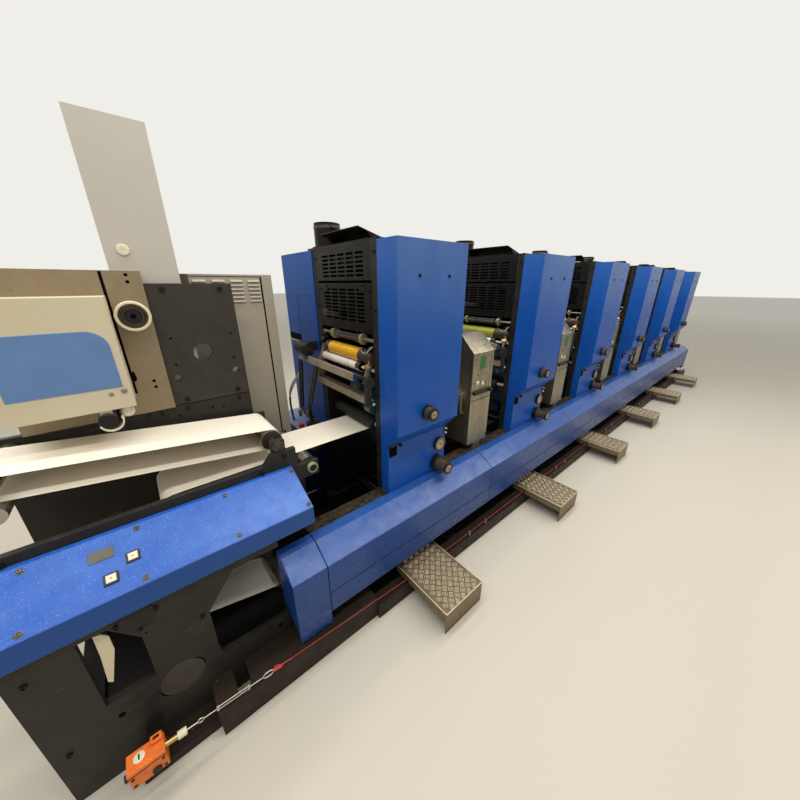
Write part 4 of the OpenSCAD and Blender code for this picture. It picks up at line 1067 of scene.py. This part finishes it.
def dryer_parts():
    """Door edges, latch, label plate, screws and a small bent pipe on the drying cabinets."""
    low, high = first_box("drying_cabinets")
    x0, x1 = low.x, high.x
    y0, y1, z1 = low.y, high.y, high.z
    front_top = z1 - 115
    lip = Shape()
    lip.prism([(y0 - 2, front_top - 4), (y0 - 2, front_top + 2), (y0 + 115, z1 + 2), (y1, z1 + 2), (y1, z1),
               (y0 + 116, z1), (y0, front_top)], x0 - 2, x1 + 2, axis="x")
    lip.done("dryer_lids", STAINLESS, slot="stainless", bevel=1, each_unit=True)
    seams = Shape()
    seams.box((x0, y0 - 0.8, 930), (x1, y0, 934))
    seams.box((x1 - 30, y0 - 0.8, 940), (x1 - 28, y0, front_top - 16))
    seams.box((x0 - 0.8, y0 + 20, 960), (x0, y0 + 23, 1230))
    seams.done("dryer_seams", DEEP, slot="stainless", each_unit=True)
    latch = Shape().box((x0 + 18, y0 - 16, 976), (x1 - 4, y0, 1000))
    latch.bar((x1 - 30, y0 - 16, 988), "y", -14, 0, 26, 20)
    latch.done("dryer_latches", BLACK_SCREW, slot="black_plastic", bevel=2, each_unit=True)
    label = Shape().box((x0 + 76, y0 - 1.5, 1150), (x0 + 134, y0, 1236))
    label.done("dryer_label_plates", GREEN, slot="stainless", bevel=0.5, each_unit=True)
    fixings = Shape()
    for x, z in ((x0 + 22, 1220), (x0 + 22, 1060), (x0 + 60, 1110), (x0 + 150, 1110), (x0 + 96, 1052),
                 (x0 + 150, 1046), (x0 + 20, 640), (x1 - 20, 640)):
        fixings.bar((x, y0, z), "y", -3, 0, 9, 12)
    fixings.done("dryer_fixings", SCREW, slot="machined_steel", bevel=0.5, each_unit=True)
    dial = Shape()
    for x, z in ((x0 + 62, 1056), (x0 + 118, 1044)):
        dial.turned([(0, 15), (-3, 15), (-4, 13), (-4, 1)], (x, y0, z), "y", 24)
    dial.done("dryer_gauges", IVORY, slot="stainless", each_unit=True)
    pipe = Shape().tube([(x0 - 2, 160, 840), (x0 - 22, 160, 840), (x0 - 30, 160, 870), (x0 - 30, 160, 960),
                         (x0 - 22, 160, 985), (x0 - 2, 160, 985)], 9)
    pipe.done("dryer_pipes", BAR_METAL, slot="machined_steel", each_unit=True)


def step_lugs():
    """Raised bars of the tread plate in groups of four, each group turned against its neighbours."""
    low, high = first_box("steps")
    x0, x1 = low.x, high.x
    y0, y1, top = low.y, high.y, high.z
    centre = Vector(((x0 + x1) / 2, (y0 + y1) / 2))
    lugs = Shape()
    cell, bars, gap, half, thick, lift = 32.0, 4, 7.6, 12.5, 2.0, 1.8
    axes = [Vector((math.cos(a), math.sin(a))) for a in (math.radians(45), math.radians(135))]
    count = int((y1 - y0) / cell) + 1
    faces = []
    for i in range(-count, count + 1):
        for j in range(-count, count + 1):
            middle = centre + axes[0] * cell * i + axes[1] * cell * j
            if not (x0 + 10 < middle.x < x1 - 10 and y0 + 12 < middle.y < y1 - 10):
                continue
            along, across = (axes[0], axes[1]) if (i + j) % 2 else (axes[1], axes[0])
            for k in range(bars):
                spot = middle + across * (k - (bars - 1) / 2) * gap
                if not (x0 + 5 < spot.x < x1 - 5 and y0 + 5 < spot.y < y1 - 5):
                    continue
                base = [(-half, 0), (-half * 0.7, -thick), (half * 0.7, -thick), (half, 0),
                        (half * 0.7, thick), (-half * 0.7, thick)]
                low_ring = [lugs.bm.verts.new((*(spot + along * u + across * v), top)) for u, v in base]
                high_ring = [lugs.bm.verts.new((*(spot + along * u * 0.8 + across * v * 0.5), top + lift))
                             for u, v in base]
                faces.append(lugs.bm.faces.new(high_ring))
                for n in range(6):
                    m = (n + 1) % 6
                    faces.append(lugs.bm.faces.new((low_ring[n], low_ring[m], high_ring[m], high_ring[n])))
    bmesh.ops.recalc_face_normals(lugs.bm, faces=faces)
    lugs.done("tread_lugs", LUG, slot="tread_plate", each_unit=True)
    rim = Shape()
    front_strip = [(y0 - 1.5, top - 6), (y0 - 1.5, top + 1), (y0 + 3, top + 1), (y0 + 3, top - 6)]
    rim.prism(front_strip, x0 - 1.5, x1 + 1.5, axis="x")
    for x in (x0 - 1.5, x1 - 3):
        rim.box((x, y0, top - 6), (x + 4.5, y1, top + 1))
    rim.done("step_rims", RIM, slot="tread_plate", bevel=0.8, each_unit=True)


def pan_shade_sheets():
    """Dark sheets at the back of the oil pan, in each gap before a unit: painted shade that hides the floor
    beyond.
    """
    first = line_box("cross_beams")[0].x + 950
    # Each wall is a dark sheet of painted shade.
    wall = Shape()
    for number in UNITS:
        left = first if number == 1 else PITCH * (number - 2) + UNIT_LENGTH + 4
        wall.box((left, 797, 64), (PITCH * (number - 1) - 4, 800, 230))
    wall.done("pan_shade_sheets", PIT, slot="dark_frame")


def plinth_screws():
    """Countersunk screws along the plinth's slope and front."""
    screws = Shape()
    for x in (-440, 120, 700):
        screws.bar((x, -92, 470), "y", -2.5, 0, 12, 14)
        screws.bar((x, -92, 250), "y", -2.5, 0, 12, 14)
    screws.done("plinth_screws", SCREW, slot="blue_paint", bevel=0.6, each_unit=True)
    groove = Shape().box((-482, -92.2, 332.5), (PITCH - 486, -91.4, 337.5))
    groove.done("plinth_grooves", DEEP, slot="blue_paint", each_unit=True)


cover_hardware()
dial_faces()
for unit in UNITS:
    knob(unit, "upper", waist=35, flange=42, flange_length=6, disc=22)
    knob(unit, "lower", waist=35, flange=50, flange_length=20, disc=25)
guards()
frame_edges()
roof_parts()
gear_cabinet_parts()
fountain_parts()
roller_parts()
stirrer_parts()
throw_off_parts()
air_lines()
hose_parts()
motor_rings()
dryer_parts()
step_lugs()
plinth_screws()
pan_shade_sheets()


# Infeed

EAR_NEAR = line_box("console")[1].y
PLATE_FAR = line_box("infeed_side_plates")[1].y
SLOPE_LOW, SLOPE_HIGH = (0, 768), (205, 868)
SLOPE = math.atan2(SLOPE_HIGH[1] - SLOPE_LOW[1], SLOPE_HIGH[0] - SLOPE_LOW[0])


def on_slope(x, along, lift=0.0):
    """A point on the console's slope, so far up it from the front edge and off its face."""
    return (x, SLOPE_LOW[0] + along * math.cos(SLOPE) - lift * math.sin(SLOPE),
            SLOPE_LOW[1] + along * math.sin(SLOPE) + lift * math.cos(SLOPE))


def console_parts():
    """Push buttons with ivory faces, a dark display and screws with washers."""
    tilt = Matrix.Rotation(SLOPE, 4, "X")

    def pad(shape, x, along, half_x, half_y, low, high):
        centre = Vector(on_slope(x, along, (low + high) / 2))
        half = Vector((half_x, half_y, (high - low) / 2))
        shape.box(centre - half, centre + half, tilt)

    bezels, faces, marks = Shape(), Shape(), Shape()
    for x, along in ((-1082, 112), (-1142, 66)):
        pad(bezels, x, along, 19, 19, 0, 4)
        pad(faces, x, along, 13, 13, 4, 6.5)
        pad(marks, x, along, 3, 3, 6.5, 6.9)
    bezels.done("button_bezels", BLACK_SCREW, slot="black_plastic", bevel=1.5)
    faces.done("button_faces", IVORY, slot="cream_paint", bevel=1.5)
    marks.done("button_dots", GOLD, slot="cream_paint")
    display = Shape()
    pad(display, -1160, 160, 32, 20, 0, 2)
    display.done("console_display", DISPLAY, slot="black_plastic", bevel=1)
    screws, washers = Shape(), Shape()
    for x in (-1340, -1060, -774, -493):
        for along in (20, 210):
            spot = Matrix.Translation(on_slope(x, along)) @ tilt
            for shape, profile in ((washers, [(0, 10), (1.4, 10), (1.8, 8.5), (1.8, 1)]),
                                   (screws, [(1.8, 7), (5, 7), (6.4, 5), (6.4, 3), (3, 2.6)])):
                shape.turned(profile, spot, "z", 20)
    washers.done("console_washers", SCREW, slot="machined_steel")
    screws.done("console_screws", SCREW, slot="machined_steel")


def near_plate_parts():
    """Screws and covers of the plate under the console, a dark disc of painted shade over its round pocket,
    and the screws of the ear.
    """
    front = line_box("infeed_side_plates")[0].y
    screws = Shape()
    for x, z in ((-1064, 643), (-952, 500), (-1117, 591), (-1168, 644), (-1380, 600), (-1380, 240)):
        screws.screw((x, front, z), "y", 15)
    for x, z in ((-503, 928), (-610, 880), (-1380, 880)):
        screws.screw((x, EAR_NEAR, z), "y", 17)
    screws.done("side_plate_screws", BLACK_SCREW, slot="dark_frame")
    holes = Shape()
    for x, z, d in ((-1241, 269, 20), (-694, 204, 18), (-738, 227, 8), (-742, 172, 8), (-857, 233, 8),
                    (-1108, 561, 8)):
        holes.bar((x, front, z), "y", -0.6, 0, d, 20)
    holes.done("side_plate_holes", DEEP, slot="dark_frame")
    cover = Shape().turned([(0, 49), (-3, 49), (-4, 47), (-4, 1)], (-1116, front, 640), "y", 56)
    cover.done("round_cover", FRAME_EDGE, slot="dark_frame")
    # A dark disc in front of the round pocket: painted shade of the pocket's inside.
    lid = Shape().turned([(0, 72), (-1, 71.5), (-1, 1)], (-1060, front, 266), "y", 64)
    lid.done("pocket_shade_disc", DARK_END, slot="dark_frame")
    strip = Shape().prism([(-1239, 432), (-1228, 418), (-1194, 549), (-1193, 613), (-1208, 634), (-1226, 640),
                           (-1229, 549)], front + 13, front + 18)
    strip.done("window_strip", CREAM, slot="cream_paint")


def idler_parts():
    """Grooved end faces, bearings and bolts of the two idlers."""
    places = {}
    for node in ("infeed_idler", "small_idler"):
        low, high = line_box(node)
        places[node] = (low.x + high.x) / 2, (low.z + high.z) / 2
    x, z = places["infeed_idler"]
    block = 240
    ring = Shape().turned([(0, 28), (-5, 28), (-7, 25), (-7, 15), (-2, 14), (-2, 2)], (x, block, z), "y", 40)
    ring.done("idler_bearing", SCREW, slot="machined_steel")
    end = Shape()
    face = 325
    end.turned([(0, 46), (-1.5, 46), (-1.5, 42), (-0.4, 41), (-0.4, 37), (-1.5, 36), (-1.5, 31), (-0.4, 30),
                (-0.4, 25), (-3, 24), (-3, 16), (-14, 15), (-14, 12)], (x, face, z), "y", 48)
    end.done("idler_end", DARK_END, body="infeed_idler", slot="machined_steel")
    x, z = places["small_idler"]
    ring = Shape().turned([(0, 27), (-16, 27), (-19, 24), (-19, 19), (-16, 18)], (x, EAR_NEAR, z), "y", 40)
    ring.done("small_idler_ring", OLIVE_RING, slot="machined_steel")
    core = Shape().turned([(-14, 18.5), (-16.5, 18), (-16.5, 8), (-20, 7), (-20, 1)],
                          (x, EAR_NEAR, z), "y", 36)
    core.done("small_idler_core", BLACK_SCREW, slot="dark_frame")
    bolts = Shape()
    for node, radius, seat in (("infeed_idler", 20, block - 7), ("small_idler", 12.5, EAR_NEAR - 16)):
        for x, z in around(*places[node], radius, 3, 0.25):
            bolts.screw((x, seat, z), "y", 6)
    bolts.done("idler_bolts", BLACK_SCREW, slot="dark_frame")


def hub_parts():
    """The reel-side hub: a cream ring round nested gold and dark rings."""
    x, z = -898, 1561
    front = line_box("hub_plate")[0].y
    rim = [(0, 57), (0, 58), (-4, 58), (-7, 55), (-7, 49), (-3, 47), (1, 46)]
    ring = Shape().turned(rim, (x, front, z), "y", 56)
    ring.turned([(0.5, 56.7), (60, 56.7)], (x, front, z), "y", 56)
    ring.done("hub_rim", IVORY, slot="cream_paint")
    core = [(1, 47), (-3, 47), (-3, 40), (-1, 39), (-1, 33), (-4, 32), (-4, 27), (-2, 26), (-2, 1)]
    dark = Shape().turned(core, (x, front, z), "y", 56)
    dark.done("hub_core", BLACK_SCREW, slot="black_plastic")
    bore = Shape().bar((x, front, z), "y", -2.5, -2, 20, 28)
    bore.done("hub_bore", DEEP, slot="black_plastic")
    gold = Shape()
    for radius, deep in ((45, 4), (40, 4), (32.5, 4.6)):
        gold.ring((x, front - deep, z), "y", radius * 2, 1.1, 56)
    gold.done("hub_gold_rings", GOLD, slot="machined_steel")


def back_plate_parts():
    """Screw heads and small holes on the upper back plate, the hub plate and the strip below, and a painted
    shadow line down the hub plate beside the web cleaner.
    """
    front = PLATE_FAR - 25
    screws = Shape()
    for x, z in ((-778, 1658), (-556, 1658), (-784, 1160), (-559, 1165), (-792, 1112), (-562, 1116),
                 (-895, 1112),
                 (-942, 1112), (-1099, 1100), (-1250, 1090), (-1380, 1110)):
        screws.screw((x, front, z), "y", 20)
    screws.done("back_plate_screws", BLACK_SCREW, slot="dark_frame")
    joint = Shape().box((-838, front - 0.6, 1138), (-505, front, 1141))
    joint.done("back_plate_joint", DEEP, slot="dark_frame")
    holes = Shape()
    for x, z in ((-791, 1452), (-545, 1453), (-550, 1333), (-794, 1333), (-830, 1090), (-690, 1095),
                 (-640, 1085)):
        holes.bar((x, front, z), "y", -0.5, 0, 11, 16)
    hub_front = 620
    for x, z in ((-885, 1716), (-885, 1690), (-890, 1279), (-889, 1251)):
        holes.bar((x, hub_front, z), "y", -0.5, 0, 13, 16)
    # Painted shadow: a thin black strip down the hub plate along the web cleaner's side.
    holes.box((-966, hub_front - 0.6, 1235), (-956, hub_front, 1728))
    holes.prism([(-962, 1330), (-948, 1330), (-944, 1300), (-950, 1286), (-960, 1290)],
                hub_front - 0.5, hub_front)
    holes.done("small_holes_and_shadow_line", DEEP, slot="dark_frame")


def cleaner_parts():
    """Blue bare panel, foot, rubber roller and its caps on the web cleaner."""
    low, high = line_box("web_cleaner")
    front = low.y
    x0, x1, z0, z1, large, small = low.x + 24, high.x - 22, 1322, 1530, 60, 12
    outline = [(x0, z0), (x1, z0), *arc(x1 - large, z1 - large, large, 0, 90, 8),
               *arc(x0 + small, z1 - small, small, 90, 180, 4)]
    panel = Shape().prism(outline, front - 2.5, front)
    panel.done("cleaner_panel", PANEL_BLUE, slot="blue_paint", bevel=1)
    trim = Shape().turned([(0, 9), (-4, 9), (-6, 6), (-6, 1)], (high.x - 22, front, 1306), "y", 24)
    trim.turned([(0, 7), (-3, 7), (-4, 5), (-4, 1)], (high.x - 60, front, 1300), "y", 24)
    trim.done("cleaner_screws", BAR_METAL, slot="machined_steel")
    roller = Shape().turned([(0, 26), (0, 29.5), (60, 29.5), (130, 29.5), (130, 26)],
                            (-1057, 450, 1198), "y", 40)
    roller.done("cleaner_roller", RUBBER, slot="black_rubber")
    dark = Shape().turned([(0, 30), (-8, 30), (-12, 26), (-12, 1)], (-1057, 432, 1198), "y", 40)
    dark.done("cleaner_roller_end", BLACK_SCREW, slot="black_rubber")
    caps = Shape()
    shell = arc(-1050, 1196, 38, 200, 380, 12) + arc(-1050, 1196, 33, 380, 200, 12)
    for k in range(12):
        caps.prism([shell[k], shell[k + 1], shell[-2 - k], shell[-1 - k]], 414, 600)
    caps.turned([(0, 20), (-30, 20), (-34, 16), (-34, 1)], (high.x - 30, 470, 1218), "y", 32)
    caps.done("cleaner_caps", IVORY, slot="cream_paint")


def cabinet_parts():
    """Louvres, door seam and lock of the switchgear cabinet, and the tower's cover button."""
    front = line_box("switchgear_cabinet")[0].y
    louvres = Shape()

    def louvre(x, z):
        louvres.prism([(front, z - 6), (front - 9, z - 6), (front - 8, z - 3), (front, z + 6)],
                      x - 30, x + 30, axis="x")

    for x in (-610, -524, -439, -354):
        louvre(x, 1697)
    for x in (-439, -354):
        for k in range(1, 6):
            louvre(x, 1697 - 20 * k)
    louvres.done("switchgear_louvres", GREY, slot="grey_paint", bevel=1)
    seams = Shape()
    seams.box((-694, front - 1, 60), (-690, front, 1718))
    seams.box((-318, front - 1, 60), (-310, front, 1718))
    seams.box((-694, front - 1, 1716), (-312, front, 1719))
    seams.done("switchgear_seams", DEEP, slot="grey_paint")
    corner = Shape().box((-699, front - 1.2, 1650), (-652, front, 1726))
    corner.done("switchgear_corner", SCREW, slot="grey_paint")
    button = Shape().turned([(0, 21), (-4, 21), (-7, 18), (-7, 5), (-5, 4), (-5, 1)],
                            (-870, 665, 1809), "y", 32)
    button.done("tower_button", IVORY, slot="cream_paint")


SWITCH_RIGHT = -1146


def switch_parts():
    """The safety switch's lid, disc, glands and screws."""
    low, high = line_box("switch_box")
    near, far, floor, top, left, right = low.y, -92, low.z, 214, low.x, SWITCH_RIGHT
    lid = Shape().box((left - 1.5, near - 1.5, top - 16), (right + 1.5, far + 1.5, top + 1))
    lid.box((right - 34, far - 24, top), (right - 1, far + 1, top + 17))
    lid.done("switch_lid", ORANGE, slot="orange_paint", bevel=3)
    seam = Shape().box((left - 1, near - 1, top - 18.5), (right + 1, far + 1, top - 16.5))
    seam.done("switch_seam", DEEP, slot="black_plastic")
    disc = Shape().turned([(0, 16), (3, 16), (4, 14), (4, 1)],
                          (-1212, (near + far) / 2 + 2, top + 1), "z", 36)
    disc.done("switch_disc", IVORY, slot="cream_paint")
    mark = Shape().box((-1214, (near + far) / 2 - 7, top + 5), (-1210, (near + far) / 2 + 11, top + 5.6))
    mark.done("switch_mark", BLACK_SCREW, slot="black_plastic")
    glands = Shape()
    glands.bar((-1178, near, floor + 16), "y", -5, 0, 26, 24)
    glands.bar((left, (near + far) / 2, floor + 26), "x", -16, 0, 24, 6)
    glands.box((right - 26, far - 17, top + 17), (right - 8, far - 8, top + 19))
    glands.done("switch_glands", BLACK_SCREW, slot="black_plastic", bevel=1.5)
    screws = Shape()
    for x, z in ((left + 9, floor + 10), (left + 9, top - 30), (right - 9, floor + 10),
                 (right - 9, top - 30)):
        screws.screw((x, near, z), "y", 8)
    screws.done("switch_screws", SCREW, slot="machined_steel")


def cord_parts():
    """The rod, turnbuckle and knot that join the pull cord to the switch, and the cord itself."""
    low, high = line_box("pull_cord")
    line = low.y + 5
    start, end = Vector((SWITCH_RIGHT, line, 200)), Vector((0, line, 112))
    lean = math.atan2(start.z - end.z, end.x - start.x)
    place = Matrix.Translation(start) @ Matrix.Rotation(lean, 4, "Y")

    def tilted(shape):
        shape.bm.transform(place)
        return shape

    plunger = Shape().turned([(0, 10), (4, 10), (4, 9), (36, 9), (38, 7)], (0, 0, 0), "x", 24)
    tilted(plunger).done("switch_rod", BRASS, slot="machined_steel")
    sleeve = Shape().turned([(36, 10), (37, 13), (62, 13), (64, 10), (64, 3)], (0, 0, 0), "x", 24)
    tilted(sleeve).done("switch_sleeve", IVORY, slot="cream_paint")
    rigging = Shape()
    rigging.bar((64, 0, 0), "x", 0, 34, 5, 10)
    rigging.ring((106, 0, 0), "y", 18, 4, 20)
    rigging.bar((116, 0, 0), "x", 0, 46, 4, 10)
    for side in (-7.5, 7.5):
        rigging.bar((160, 0, side), "x", 0, 112, 3.5, 10)
    for x in (158, 266):
        rigging.box((x, -4, -9), (x + 8, 4, 9))
    rigging.bar((272, 0, 0), "x", 0, 50, 3.5, 10)
    rigging.ring((346, 0, 0), "y", 42, 5, 24, squash=0.62)
    tilted(rigging).done("cord_turnbuckle", WIRE, slot="machined_steel")
    knot = Shape()
    knot.turned([(364, 4), (372, 7.5), (380, 6.5), (388, 8), (398, 6.5), (406, 4)], (0, 0, 0), "x", 16)
    knot.tube([(400, 0, 4), (412, -4, 9), (432, -5, 8), (446, -4, 5)], 4, 8)
    knot.tube([(366, 0, 2), (374, 5, 10), (384, 3, 12), (392, 0, 6)], 4, 8)
    tilted(knot).done("cord_knot", CORD, slot="red_cord")
    knot_start = 368
    joined = start + (end - start).normalized() * knot_start
    finish = Vector((high.x, end.y, end.z))
    cord = Shape().tube([joined, end], CORD_DIAMETER, 10)
    cord.tube([end, finish], CORD_DIAMETER, 10)
    cord.turned([(-8, 2), (-8, 4), (8, 4), (8, 2)], end, "x", 16)
    piece = cord.done("cord_run", CORD, slot="red_cord")
    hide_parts("pull_cord")


console_parts()
near_plate_parts()
idler_parts()
hub_parts()
back_plate_parts()
cleaner_parts()
cabinet_parts()
switch_parts()
cord_parts()


# Camera, stage and light

def camera():
    """Stands where the photograph was taken from, with a phone's wide lens."""
    lens = bpy.data.cameras.new("camera")
    lens.sensor_width = 36
    lens.lens = 14.05
    view = bpy.data.objects.new("camera", lens)
    view.location = at(-908.8, -1099.5, 1682.2)
    pitch, heading, roll = 69.587, -40.029, 0.0
    view.rotation_euler = [math.radians(a) for a in (pitch, roll, heading)]
    lens.clip_start, lens.clip_end = 0.05, 200
    bpy.context.scene.collection.objects.link(view)
    bpy.context.scene.camera = view


def stage():
    """A pale floor that runs out to a white surround."""
    mesh = bpy.data.meshes.new("floor")
    reach, near_edge, far_edge = 60, 5, 22
    mesh.from_pydata([(-reach, -reach, 0), (reach, -reach, 0), (reach, reach, 0), (-reach, reach, 0)], [],
                     [(0, 1, 2, 3)])
    floor = bpy.data.objects.new("floor", mesh)
    bpy.context.scene.collection.objects.link(floor)
    pale = Finish("floor", srgb(198, 192, 178), 0.6, specular=0.2)
    away = pale.add("ShaderNodeVectorMath", operation="LENGTH")
    pale.link(pale.add("ShaderNodeNewGeometry").outputs["Position"], away.inputs[0])
    pale.tint(pale.ramp(away.outputs["Value"], near_edge, far_edge), srgb(232, 229, 221))
    mesh.materials.append(pale.done())


def lamp(name, place, size, power, turn=(0, 0, 0), colour=(1.0, 0.97, 0.92)):
    light = bpy.data.lights.new(name, "AREA")
    light.shape = "RECTANGLE"
    light.size, light.size_y = size
    light.energy = power
    light.color = colour
    lit = bpy.data.objects.new(name, light)
    lit.location = at(*place)
    lit.rotation_euler = [math.radians(a) for a in turn]
    bpy.context.scene.collection.objects.link(lit)


def lights():
    """Long ceiling strips over the aisle and the line, in a bright plain room."""
    middle = 1300
    for name, y, power in (("strip near", -1300, 140), ("strip mid", 300, 115), ("strip far", 1900, 115)):
        lamp(name, (middle, y, 4200), (9, 0.35), power)
    world = bpy.data.worlds.new("room")
    bpy.context.scene.world = world
    world.use_nodes = True
    tree = world.node_tree
    tree.nodes.clear()
    out = tree.nodes.new("ShaderNodeOutputWorld")
    room = tree.nodes.new("ShaderNodeBackground")
    room.inputs["Color"].default_value = (1.0, 0.97, 0.92, 1)
    room.inputs["Strength"].default_value = 0.5
    seen = tree.nodes.new("ShaderNodeBackground")
    seen.inputs["Color"].default_value = srgb(240, 238, 232)
    path = tree.nodes.new("ShaderNodeLightPath")
    direct = path.outputs["Is Camera Ray"]
    for kind in ("Glossy", "Transmission"):
        most = tree.nodes.new("ShaderNodeMath")
        most.operation = "MAXIMUM"
        tree.links.new(direct, most.inputs[0])
        tree.links.new(path.outputs[f"Is {kind} Ray"], most.inputs[1])
        direct = most.outputs[0]
    mix = tree.nodes.new("ShaderNodeMixShader")
    tree.links.new(direct, mix.inputs[0])
    tree.links.new(room.outputs[0], mix.inputs[1])
    tree.links.new(seen.outputs[0], mix.inputs[2])
    tree.links.new(mix.outputs[0], out.inputs["Surface"])


camera()
stage()
lights()
bpy.context.scene.view_settings.view_transform = "Standard"
